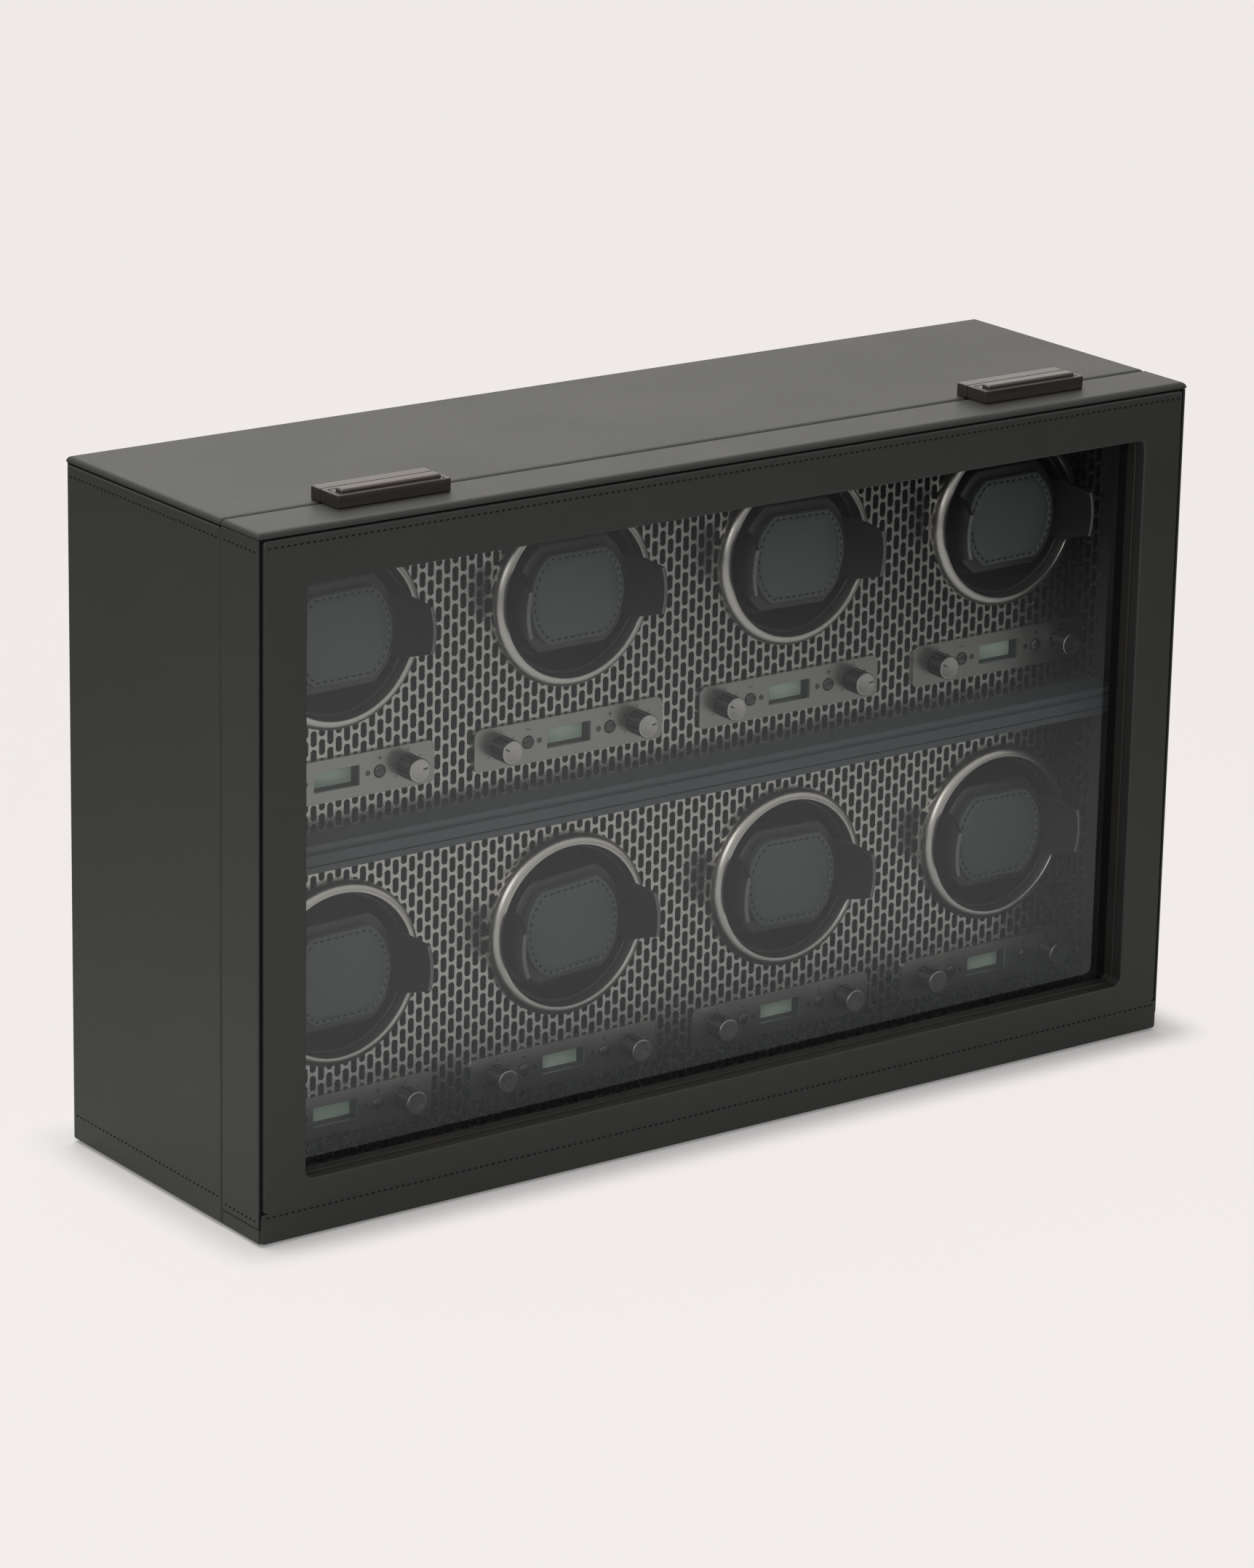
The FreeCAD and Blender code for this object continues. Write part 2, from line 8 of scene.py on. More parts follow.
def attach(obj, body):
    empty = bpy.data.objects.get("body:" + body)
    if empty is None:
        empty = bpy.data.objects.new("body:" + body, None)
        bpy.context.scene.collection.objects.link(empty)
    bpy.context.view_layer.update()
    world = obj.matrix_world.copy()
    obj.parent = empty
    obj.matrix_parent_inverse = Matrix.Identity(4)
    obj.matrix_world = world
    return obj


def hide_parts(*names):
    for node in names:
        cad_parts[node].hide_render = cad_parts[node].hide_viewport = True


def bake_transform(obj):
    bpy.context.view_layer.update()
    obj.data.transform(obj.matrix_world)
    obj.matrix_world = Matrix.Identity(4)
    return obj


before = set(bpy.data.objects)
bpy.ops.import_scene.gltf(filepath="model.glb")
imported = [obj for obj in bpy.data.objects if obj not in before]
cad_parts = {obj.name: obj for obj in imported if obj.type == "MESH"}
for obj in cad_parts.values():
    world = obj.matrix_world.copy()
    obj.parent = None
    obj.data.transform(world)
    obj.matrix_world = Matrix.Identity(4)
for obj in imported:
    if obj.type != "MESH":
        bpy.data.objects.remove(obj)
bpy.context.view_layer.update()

# Lengths are millimetres in the CAD frame; finishPiece turns a mesh into metres.
# +X is the width, -Y the front and +Z up.
toMetres = 0.001
upright = Matrix.Rotation(math.pi / 2, 4, "X")  # lays a flat bmesh shape in the XZ plane, facing the front

places = {
    "rows": {"upper": 294.0, "lower": 115.0},
    "columns": [-214.875, -71.625, 71.625, 214.875],
    "controlDrop": 75.9,
    "restAngles": {"upper": (1.5, 0.6, -1.0, 0.8), "lower": (2.0, 5.3, -1.0, -0.7)},
}


def eachPlace():
    for row, z in places["rows"].items():
        for number, x in enumerate(places["columns"], 1):
            yield row, number, x, z


# shader sockets


class Wire:
    # An output socket. Sums on wires and numbers add Math nodes.
    def __init__(self, socket):
        self.socket = socket

    def node(self, kind, settings=None, sockets=None, output=0):
        tree = self.socket.id_data
        made = tree.nodes.new("ShaderNode" + kind)
        for name, value in (settings or {}).items():
            setattr(made, name, value)
        for name, value in (sockets or {}).items():
            if isinstance(value, Wire):
                tree.links.new(value.socket, made.inputs[name])
            else:
                made.inputs[name].default_value = value
        return Wire(made.outputs[output]) if made.outputs else None

    def math(self, operation, first, second):
        return self.node("Math", {"operation": operation}, {0: first, 1: second})

    def __add__(self, other):
        return self.math("ADD", self, other)

    def __radd__(self, other):
        return self.math("ADD", other, self)

    def __sub__(self, other):
        return self.math("SUBTRACT", self, other)

    def __rsub__(self, other):
        return self.math("SUBTRACT", other, self)

    def __mul__(self, other):
        return self.math("MULTIPLY", self, other)

    def __rmul__(self, other):
        return self.math("MULTIPLY", other, self)

    def __pow__(self, other):
        return self.math("POWER", self, other)


def makeFinish(name, build, **values):
    finish = bpy.data.materials.new(name)
    finish.use_nodes = True
    finish.node_tree.nodes.clear()
    place = Wire(finish.node_tree.nodes.new("ShaderNodeTexCoord").outputs["Object"])
    place.node("OutputMaterial", None, {"Surface": build(place, **values)})
    return finish


def mixColour(share, first, second):
    return share.node("Mix", {"data_type": "RGBA"}, {0: share, 6: (*first, 1), 7: (*second, 1)}, 2)


def noise(place, scale, detail=3.0, stretch=None):
    if stretch:
        place = place.node("Mapping", None, {"Vector": place, "Scale": stretch})
    return place.node("TexNoise", None, {"Vector": place, "Scale": scale, "Detail": detail})


def bump(height, distance, strength=1.0):
    return height.node("Bump", None, {"Height": height, "Distance": distance, "Strength": strength})


def leatherSurface(place, dark, light, pebble, relief, rough, specular=0.5):
    cloud = noise(place, 14.0, 4.0)
    cells = place.node("TexVoronoi", {"feature": "SMOOTH_F1"}, {"Vector": place, "Scale": pebble})
    pores = noise(place, pebble * 2.3, 2.0)
    height = cells * 0.75 + pores * 0.35
    return place.node("BsdfPrincipled", None, {
        "Base Color": mixColour(cloud * 0.75 + cells * 0.35, dark, light),
        "Roughness": rough + cloud * 0.12 - cells * 0.1,
        "Specular IOR Level": specular,
        "Specular Tint": (0.955, 1.0, 0.945, 1),
        "Normal": bump(height, relief),
    })


def metalSurface(place, dark, light, rough, scale=260.0, stretch=(1.0, 1.0, 1.0), relief=0.00001):
    grain = noise(place, scale, 3.0, stretch)
    cloud = noise(place, 9.0, 3.0)
    return place.node("BsdfPrincipled", None, {
        "Base Color": mixColour(grain * 0.6 + cloud * 0.4, dark, light),
        "Metallic": 1.0,
        "Roughness": rough + grain * 0.14 + cloud * 0.06 - 0.1,
        "Normal": bump(grain, relief),
    })


def plasticSurface(place, dark, light, rough, relief=0.00002, scale=900.0, specular=0.5):
    grain = noise(place, scale, 2.0)
    cloud = noise(place, 22.0, 3.0)
    return place.node("BsdfPrincipled", None, {
        "Base Color": mixColour(cloud, dark, light),
        "Roughness": rough + grain * 0.12 - 0.06,
        "Specular IOR Level": specular,
        "Normal": bump(grain, relief),
    })


def clothSurface(place, dark, light, scale, relief):
    fibres = noise(place, scale, 6.0)
    cloud = noise(place, 30.0, 3.0)
    return place.node("BsdfPrincipled", None, {
        "Base Color": mixColour(fibres * 0.7 + cloud * 0.3, dark, light),
        "Roughness": 0.95,
        "Specular IOR Level": 0.15,
        "Normal": bump(fibres, relief),
    })


def glassSurface(place, tint, smear):
    haze = noise(place, 7.0, 4.0)
    gloss = place.node("BsdfGlossy", None, {"Color": (0.92, 0.965, 1, 1), "Roughness": 0.03})
    clear = place.node("BsdfTransparent", None, {"Color": (*tint, 1)})
    inside = place.node("NewGeometry", output="Backfacing")
    share = place.node("Fresnel", None, {"IOR": 1.54}) * (1 - inside) + haze * smear
    return place.node("MixShader", None, {0: share, 1: clear, 2: gloss})


def displaySurface(place, dark, light):
    cloud = noise(place, 60.0, 2.0)
    return place.node("BsdfPrincipled", None, {
        "Base Color": mixColour(cloud, dark, light), "Roughness": 0.35, "Specular IOR Level": 0.35,
    })


finishes = {
    "leather": makeFinish(
        "case leather", leatherSurface, dark=(0.011, 0.011, 0.0105), light=(0.020, 0.020, 0.019),
        pebble=950.0, relief=0.000035, rough=0.50),
    "strap": makeFinish(
        "hinge leather", leatherSurface, dark=(0.010, 0.010, 0.0095), light=(0.018, 0.018, 0.017),
        pebble=1100.0, relief=0.000035, rough=0.52),
    "pad": makeFinish(
        "pad leather", leatherSurface, dark=(0.034, 0.037, 0.0375), light=(0.051, 0.055, 0.056),
        pebble=1300.0, relief=0.00010, rough=0.55),
    "groove": makeFinish(
        "seam shadow", plasticSurface, dark=(0.004, 0.004, 0.004), light=(0.007, 0.007, 0.007),
        rough=0.85, specular=0.1),
    "thread": makeFinish(
        "dark thread", clothSurface, dark=(0.006, 0.006, 0.006), light=(0.014, 0.014, 0.014),
        scale=2600.0, relief=0.00006),
    "reveal": makeFinish(
        "reveal edge", leatherSurface, dark=(0.007, 0.0058, 0.005), light=(0.012, 0.0098, 0.0084),
        pebble=900.0, relief=0.00008, rough=0.55),
    "lining": makeFinish(
        "black lining", clothSurface, dark=(0.010, 0.010, 0.011), light=(0.020, 0.020, 0.022),
        scale=1500.0, relief=0.00010),
    "plate": makeFinish(
        "satin plate", metalSurface, dark=(0.31, 0.30, 0.281), light=(0.395, 0.382, 0.359), rough=0.27,
        scale=420.0, relief=0.000002),
    "ring": makeFinish(
        "ring metal", metalSurface, dark=(0.335, 0.322, 0.297), light=(0.413, 0.396, 0.366), rough=0.32,
        scale=500.0, relief=0.000001),
    "control": makeFinish(
        "control plate metal", metalSurface, dark=(0.205, 0.201, 0.189), light=(0.255, 0.250, 0.234),
        rough=0.32, scale=380.0, stretch=(0.2, 1.0, 3.0), relief=0.000003),
    "knob": makeFinish(
        "knob cap", metalSurface, dark=(0.27, 0.262, 0.25), light=(0.36, 0.348, 0.33), rough=0.30,
        scale=700.0, relief=0.0000005),
    "knobSide": makeFinish(
        "knob side", metalSurface, dark=(0.035, 0.034, 0.033), light=(0.060, 0.058, 0.056), rough=0.30,
        scale=700.0, relief=0.0000005),
    "latch": makeFinish(
        "latch metal", metalSurface, dark=(0.072, 0.064, 0.060), light=(0.115, 0.104, 0.097),
        rough=0.36, scale=240.0, stretch=(0.12, 1.0, 1.0), relief=0.000004),
    "rail": makeFinish(
        "rail wrap", leatherSurface, dark=(0.046, 0.052, 0.056), light=(0.066, 0.072, 0.076),
        pebble=1000.0, relief=0.00004, rough=0.50, specular=0.2),
    "cup": makeFinish(
        "cup black", plasticSurface, dark=(0.003, 0.003, 0.003), light=(0.006, 0.006, 0.006),
        rough=0.45, specular=0.3),
    "cuff": makeFinish(
        "cuff black", plasticSurface, dark=(0.004, 0.004, 0.0045), light=(0.008, 0.008, 0.009),
        rough=0.40, relief=0.00002, specular=0.4),
    # painted highlight: a lighter grey on the wings' front tip edges, standing in for the light those rounded
    # edges catch
    "wingHighlight": makeFinish(
        "wing painted highlight", plasticSurface, dark=(0.07, 0.07, 0.072), light=(0.10, 0.10, 0.103), rough=0.3),
    "dark": makeFinish(
        "black moulding", plasticSurface, dark=(0.014, 0.014, 0.015), light=(0.024, 0.024, 0.025),
        rough=0.5),
    "button": makeFinish(
        "button", plasticSurface, dark=(0.007, 0.007, 0.007), light=(0.012, 0.012, 0.012), rough=0.22),
    "lens": makeFinish(
        "smoked lens", plasticSurface, dark=(0.009, 0.009, 0.009), light=(0.015, 0.015, 0.015),
        rough=0.14),
    "display": makeFinish(
        "display glass", displaySurface, dark=(0.48, 0.59, 0.48), light=(0.57, 0.69, 0.56)),
    "paint": makeFinish(
        "dark marking", plasticSurface, dark=(0.012, 0.012, 0.012), light=(0.020, 0.020, 0.020),
        rough=0.5),
    "board": makeFinish(
        "circuit board", plasticSurface, dark=(0.02, 0.07, 0.035), light=(0.03, 0.10, 0.05), rough=0.4),
    "motor": makeFinish(
        "motor can", metalSurface, dark=(0.40, 0.40, 0.39), light=(0.52, 0.52, 0.50), rough=0.35,
        stretch=(0.2, 1.0, 1.0)),
    "screw": makeFinish(
        "black screw", metalSurface, dark=(0.06, 0.06, 0.06), light=(0.10, 0.10, 0.10), rough=0.35,
        scale=900.0),
    "felt": makeFinish(
        "foot felt", clothSurface, dark=(0.012, 0.012, 0.012), light=(0.03, 0.03, 0.03), scale=900.0,
        relief=0.0004),
    "glass": makeFinish(
        "door glass", glassSurface, tint=(0.965, 0.975, 0.975), smear=0.004),
}
print("finishes:", len(finishes))


# mesh helpers


def addBlock(bm, low, high):
    size = [b - a for a, b in zip(low, high)]
    middle = [(a + b) / 2 for a, b in zip(low, high)]
    matrix = Matrix.Translation(middle) @ Matrix.Diagonal((*size, 1))
    return bmesh.ops.create_cube(bm, size=1.0, matrix=matrix)["verts"]


def edgesOf(verts):
    return list({edge for vert in verts for edge in vert.link_edges})


def facesOf(verts):
    return list({face for vert in verts for face in vert.link_faces})


def roundEdges(bm, edges, radius, segments=3):
    bmesh.ops.bevel(bm, geom=edges, offset=radius, offset_type="OFFSET", affect="EDGES", segments=segments,
                    profile=0.5, material=-1, clamp_overlap=True)


def softBlock(bm, low, high, radius, segments=3):
    roundEdges(bm, edgesOf(addBlock(bm, low, high)), radius, segments)


def rectangle(bm, low, high, y, radius=0.0, segments=4):
    # A flat face in the XZ plane; low and high are (x, z).
    middle = ((low[0] + high[0]) / 2, y, (low[1] + high[1]) / 2)
    size = Matrix.Diagonal((high[0] - low[0], high[1] - low[1], 1, 1))
    matrix = Matrix.Translation(middle) @ upright @ size
    verts = bmesh.ops.create_grid(bm, x_segments=1, y_segments=1, size=0.5, matrix=matrix)["verts"]
    face = verts[0].link_faces[0]
    if radius:
        made = bmesh.ops.bevel(bm, geom=verts, offset=radius, offset_type="OFFSET", affect="VERTICES",
                               segments=segments, profile=0.5, material=-1)
        face = next(f for v in made["verts"] for f in v.link_faces)
    return face


def frontFace(bm):
    return min(bm.faces, key=lambda f: f.calc_center_median().y)


def outline(bm, face):
    edges = list(face.edges)
    bmesh.ops.delete(bm, geom=[face], context="FACES_ONLY")
    return edges


def thicken(bm, faces, depth):
    # Gives flat faces a body that reaches back by depth.
    made = bmesh.ops.extrude_face_region(bm, geom=faces, use_keep_orig=True)["geom"]
    verts = [item for item in made if isinstance(item, bmesh.types.BMVert)]
    bmesh.ops.translate(bm, verts=verts, vec=(0, depth, 0))
    bmesh.ops.recalc_face_normals(bm, faces=bm.faces)


def cornerEdges(bm, test=lambda p: True, degrees=30):
    # Sharp edges with both ends passing the test.
    limit = math.radians(degrees)
    return [e for e in bm.edges if len(e.link_faces) == 2 and e.calc_face_angle(0) > limit
            and all(test(v.co) for v in e.verts)]


def cutAt(bm, point, normal, clear=False):
    whole = bm.verts[:] + bm.edges[:] + bm.faces[:]
    bmesh.ops.bisect_plane(bm, geom=whole, plane_co=point, plane_no=normal, clear_outer=clear)


def lathe(bm, profile, steps):
    # Spins (radius, y) points about the Y axis.
    verts = [bm.verts.new((radius, y, 0)) for radius, y in profile]
    edges = [bm.edges.new(pair) for pair in zip(verts, verts[1:] + verts[:1])]
    bmesh.ops.spin(bm, geom=verts + edges, cent=(0, 0, 0), axis=(0, 1, 0), dvec=(0, 0, 0), angle=2 * math.pi,
                   steps=steps, use_merge=True, use_duplicate=False)
    bmesh.ops.remove_doubles(bm, verts=bm.verts, dist=1e-4)
    bmesh.ops.recalc_face_normals(bm, faces=bm.faces)


def copyAt(bm, offset, degrees=0.0):
    # A turned and placed copy of a shape that is modelled round the Y axis.
    placed = bm.copy()
    matrix = Matrix.Translation(offset) @ Matrix.Rotation(math.radians(degrees), 4, Vector((0, -1, 0)))
    bmesh.ops.transform(placed, matrix=matrix, verts=placed.verts)
    return placed


def addCopy(bm, part, offset, degrees=0.0):
    placed = copyAt(part, offset, degrees)
    spare = bpy.data.meshes.new("spare")
    placed.to_mesh(spare)
    placed.free()
    bm.from_mesh(spare)
    bpy.data.meshes.remove(spare)


def finishPiece(bm, name, finish, body, nodes=(), sharp=35, flat=False):
    bmesh.ops.scale(bm, vec=(toMetres,) * 3, verts=bm.verts)
    mesh = bpy.data.meshes.new(name)
    bm.to_mesh(mesh)
    bm.free()
    for one in [finish] if isinstance(finish, str) else finish:
        mesh.materials.append(finishes[one])
    mesh.shade_smooth()
    mesh.set_sharp_from_angle(angle=math.radians(sharp))
    piece = bpy.data.objects.new(name, mesh)
    bpy.context.scene.collection.objects.link(piece)
    if flat:  # keeps large faces flat beside their rounded edges
        piece.modifiers.new("normals", "WEIGHTED_NORMAL").keep_sharp = True
    if body:
        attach(piece, body)
    if nodes:
        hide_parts(*nodes)
    return piece


def dress(node, finish):
    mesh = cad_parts[node].data
    mesh.materials.clear()
    mesh.materials.append(finishes[finish])


def alongPath(points, pitch):
    # Places and directions at an even pitch along a run of points.
    runs = [(Vector(a), Vector(b)) for a, b in zip(points, points[1:])]
    total = sum((b - a).length for a, b in runs)
    count = max(1, round(total / pitch))
    step = total / count
    wanted = [(index + 0.5) * step for index in range(count)]
    walked = 0.0
    for a, b in runs:
        length = (b - a).length
        while wanted and wanted[0] <= walked + length:
            yield a + (b - a) * ((wanted.pop(0) - walked) / length), (b - a).normalized()
        walked += length


stitchLift = 0.02  # stitch centres stand this far off the leather


def stitchRow(bm, points, normal, stitch):
    # Small sunk stitches, each a stretched ball of twenty faces.
    for place, along in alongPath(points, stitch["pitch"]):
        across = Vector(normal).cross(along)
        turn = Matrix((along, across, Vector(normal))).transposed().to_4x4()
        slant = Matrix.Rotation(math.radians(stitch["slant"]), 4, "Z")
        size = Matrix.Diagonal((stitch["length"] / 2, stitch["width"] / 2, stitch["height"], 1))
        matrix = Matrix.Translation(place) @ turn @ slant @ size
        bmesh.ops.create_icosphere(bm, subdivisions=1, radius=1.0, matrix=matrix)


# case

caseShape = {
    "half": 295.0, "front": -54.9, "back": 90.0, "bottom": 1.5, "top": 369.0, "wall": 8.5,
    "skin": 3.2, "roll": 2.8, "sideEdge": 1.6, "grooveHigh": 0.8, "grooveDeep": 0.5, "coreLap": 0.4,
    "base": {"lap": 1.0, "setback": 0.2, "edge": 0.6},
    "plinth": {"half": 294.4, "front": -88.6, "top": 9.3, "lap": 2.0, "edge": 0.8},
    "batten": 12.0, "panelFront": 82.0,
}
caseStitch = {
    "pitch": 3.7, "length": 2.5, "width": 1.05, "height": 0.25, "slant": 12.0,
    "inset": 10.0, "lowZ": 15.6, "frontGap": 2.0, "backGap": 3.0,
}


def rolledPanel(bm, low, high, radius):
    # A thin panel with its upper edges rolled over.
    verts = addBlock(bm, low, high)
    roundEdges(bm, [e for e in edgesOf(verts) if all(v.co.z > high[2] - 1e-4 for v in e.verts)], radius, 5)


def buildCase():
    s = caseShape
    skinLow = s["top"] - s["skin"]
    sideTop = skinLow - s["grooveHigh"]
    inner = s["half"] - s["wall"]
    bm = bmesh.new()
    rolledPanel(bm, (-s["half"], s["front"], skinLow), (s["half"], s["back"], s["top"]), s["roll"])
    for side in (-1, 1):
        xs = sorted((side * s["half"], side * inner))
        softBlock(bm, (xs[0], s["front"], s["bottom"]), (xs[1], s["back"], sideTop), s["sideEdge"], 4)
    base, plinth = s["base"], s["plinth"]
    baseHalf = inner + base["lap"]
    softBlock(bm, (-baseHalf, s["front"] + base["setback"], s["bottom"]),
              (baseHalf, s["back"] - base["setback"], s["wall"]), base["edge"], 2)
    softBlock(bm, (-plinth["half"], plinth["front"], s["bottom"]),
              (plinth["half"], s["front"] + plinth["lap"], plinth["top"]), plinth["edge"], 3)
    finishPiece(bm, "caseLeather", "leather", "case", ["case_carcass"], flat=True)

    # the near-black core shows in the grooves between the skins as painted seam shadow
    core = bmesh.new()
    deep = s["grooveDeep"]
    addBlock(core, (-s["half"] + deep, s["front"] + deep, s["top"] - s["wall"]),
             (s["half"] - deep, s["back"] - deep, skinLow + s["coreLap"]))
    for low in (s["wall"], s["top"] - s["wall"] - s["batten"]):
        addBlock(core, (-inner, s["panelFront"] - s["batten"], low),
                 (inner, s["panelFront"], low + s["batten"]))
    finishPiece(core, "caseCore", "groove", "case")

    thread = bmesh.new()
    for side in (-1, 1):
        x = side * (s["half"] + stitchLift)
        for z in (s["top"] - caseStitch["inset"], caseStitch["lowZ"]):
            ends = [(x, s["front"] + caseStitch["frontGap"], z), (x, s["back"] - caseStitch["backGap"], z)]
            stitchRow(thread, ends, (side, 0, 0), caseStitch)
    finishPiece(thread, "caseStitches", "thread", "case")


# door

# window and pocket are (half width, low, high)
doorShape = {
    "half": 295.0, "front": -90.0, "back": -55.5, "bottom": 9.7, "top": 369.0, "strapTop": 17.4,
    "panelHalf": 292.3, "panelTop": 364.7, "panelDeep": 6.5, "panelEdge": 1.1, "outerCorner": 2.2,
    "window": (267.0, 31.3, 340.4), "corner": 4.0, "flangeBack": -77.0, "pocket": (279.0, 21.7, 353.0),
    "skin": 3.2, "skinSetback": 0.5,
    "sideSkin": {"thick": 1.2, "setback": 1.0, "lift": 0.2, "rise": 0.7, "edge": 0.55},
    "core": {"inset": 0.5, "setback": 1.6, "lap": 0.4, "gap": 0.02, "backGap": 0.3, "corner": 0.4},
    "liner": {"front": -83.5, "deep": 6.45, "lap": 1.5, "step": 1.0, "edge": 0.5},
}
doorStitch = {
    "pitch": 3.7, "length": 2.5, "width": 1.15, "height": 0.25, "slant": 12.0,
    "frontZ": 360.8, "endGap": 1.5, "sideZ": (359.2, 13.5), "frontGap": 2.5, "backGap": 1.5,
}


def windowFrame(bm, outer, inner, y, radii, segments=5):
    # A flat frame between two rounded rectangles, each (half width, low, high).
    loops = []
    for (half, low, high), radius in zip((outer, inner), radii):
        loops += outline(bm, rectangle(bm, (-half, low), (half, high), y, radius, segments))
    return bmesh.ops.bridge_loops(bm, edges=loops)["faces"]


def buildDoor():
    s = doorShape
    half, low, high = s["window"]

    def onFront(p):
        return abs(p.y - s["front"]) < 1e-4 and p.z > s["strapTop"] + 0.1

    panel = bmesh.new()
    faces = windowFrame(panel, (s["panelHalf"], s["strapTop"], s["panelTop"]), s["window"], s["front"],
                        (s["outerCorner"], s["corner"]))
    thicken(panel, faces, s["panelDeep"])
    roundEdges(panel, cornerEdges(panel, onFront), s["panelEdge"], 4)
    finishPiece(panel, "doorPanel", "leather", "door", ["door_frame"], flat=True)

    skins = bmesh.new()
    skinLow = s["top"] - s["skin"]
    rolledPanel(skins, (-s["half"], s["front"] + s["skinSetback"], skinLow), (s["half"], s["back"], s["top"]),
                caseShape["roll"])
    wrap = s["sideSkin"]
    for side in (-1, 1):
        xs = sorted((side * s["half"], side * (s["half"] - wrap["thick"])))
        softBlock(skins, (xs[0], s["front"] + wrap["setback"], s["bottom"] + wrap["lift"]),
                  (xs[1], s["back"], s["panelTop"] + wrap["rise"]), wrap["edge"], 3)
    finishPiece(skins, "doorSkins", "leather", "door", flat=True)

    # the near-black core shows in the grooves between the door's skins as painted seam shadow
    core = bmesh.new()
    board = s["core"]
    outer = (s["half"] - board["inset"], s["bottom"], skinLow + board["lap"])
    opening = (half + board["gap"], low - board["gap"], high + board["gap"])
    faces = windowFrame(core, outer, opening, s["front"] + board["setback"], (board["corner"], s["corner"]))
    thicken(core, faces, s["flangeBack"] - s["front"] - board["setback"])
    faces = windowFrame(core, outer, s["pocket"], s["flangeBack"], (board["corner"], board["corner"]))
    thicken(core, faces, s["back"] - s["flangeBack"] - board["backGap"])
    finishPiece(core, "doorCore", "groove", "door")

    lining = s["liner"]
    lap, step = lining["lap"], lining["step"]

    def onStep(p):
        return abs(p.y - lining["front"]) < 1e-4 and abs(p.x) < half + 1 and low - 1 < p.z < high + 1

    liner = bmesh.new()
    faces = windowFrame(liner, (half + lap, low - lap, high + lap), (half - step, low + step, high - step),
                        lining["front"], (s["corner"], s["corner"] - step))
    thicken(liner, faces, lining["deep"])
    roundEdges(liner, cornerEdges(liner, onStep), lining["edge"], 3)
    finishPiece(liner, "windowLiner", "reveal", "door", flat=True)

    thread = bmesh.new()
    end, front, z = s["panelHalf"] - doorStitch["endGap"], s["front"] - stitchLift, doorStitch["frontZ"]
    stitchRow(thread, [(-end, front, z), (end, front, z)], (0, -1, 0), doorStitch)
    for side in (-1, 1):
        x = side * (s["half"] + stitchLift)
        for z in doorStitch["sideZ"]:
            ends = [(x, s["front"] + doorStitch["frontGap"], z), (x, s["back"] - doorStitch["backGap"], z)]
            stitchRow(thread, ends, (side, 0, 0), doorStitch)
    finishPiece(thread, "doorStitches", "thread", "door")
    dress("door_glass", "glass")


# leather hinge: from the plinth's front up over the door's lower edge

strapShape = {
    "half": 293.6, "front": -90.0, "deep": 1.3, "bottom": 1.6, "top": 17.38, "corner": 1.6, "edge": 0.3,
    "bend": (8.2, 11.2), "bands": 24,
}
strapStitch = {
    "pitch": 3.7, "length": 2.5, "width": 1.15, "height": 0.25, "slant": 12.0, "z": 15.4, "endGap": 2.0,
}


def buildStrap():
    s = strapShape
    bm = bmesh.new()
    face = rectangle(bm, (-s["half"], s["bottom"]), (s["half"], s["top"]), s["front"], s["corner"])
    thicken(bm, [face], s["deep"])
    roundEdges(bm, cornerEdges(bm), s["edge"], 3)
    for step in range(1, s["bands"]):  # cross cuts in even bands up the strap
        cutAt(bm, (0, 0, s["bottom"] + (s["top"] - s["bottom"]) * step / s["bands"]), (0, 0, 1))
    strap = finishPiece(bm, "hingeStrap", "strap", None, ["hinge_strip"], flat=True)
    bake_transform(strap)
    thread = bmesh.new()
    end, front, z = s["half"] - strapStitch["endGap"], s["front"] - stitchLift, strapStitch["z"]
    stitchRow(thread, [(-end, front, z), (end, front, z)], (0, -1, 0), strapStitch)
    finishPiece(thread, "strapStitches", "thread", "door")


buildCase()
buildDoor()
buildStrap()
print("case and door: leather, core, liner, stitches and hinge strap")


# latches

# pocket is (half length, front, back)
# each part of a lever is (half length, front, back, low, high, edge, segments)
latchShape = {
    "x": 204.0, "half": 33.5, "front": -71.2, "seam": (-55.4, -55.0), "back": -47.0, "low": 369.0,
    "high": 376.0, "edge": 0.55, "pocket": (31.35, -69.2, -58.4), "pocketFloor": 372.3,
    "lever": {
        "base": (30.75, -68.6, -59.0, 373.5, 375.9, 0.3, 3),
        "bar": (29.6, -68.5, -62.6, 374.0, 377.9, 1.0, 4),
        "tongue": (20.0, -62.2, -52.0, 372.5, 374.0, 0.3, 2),
    },
}


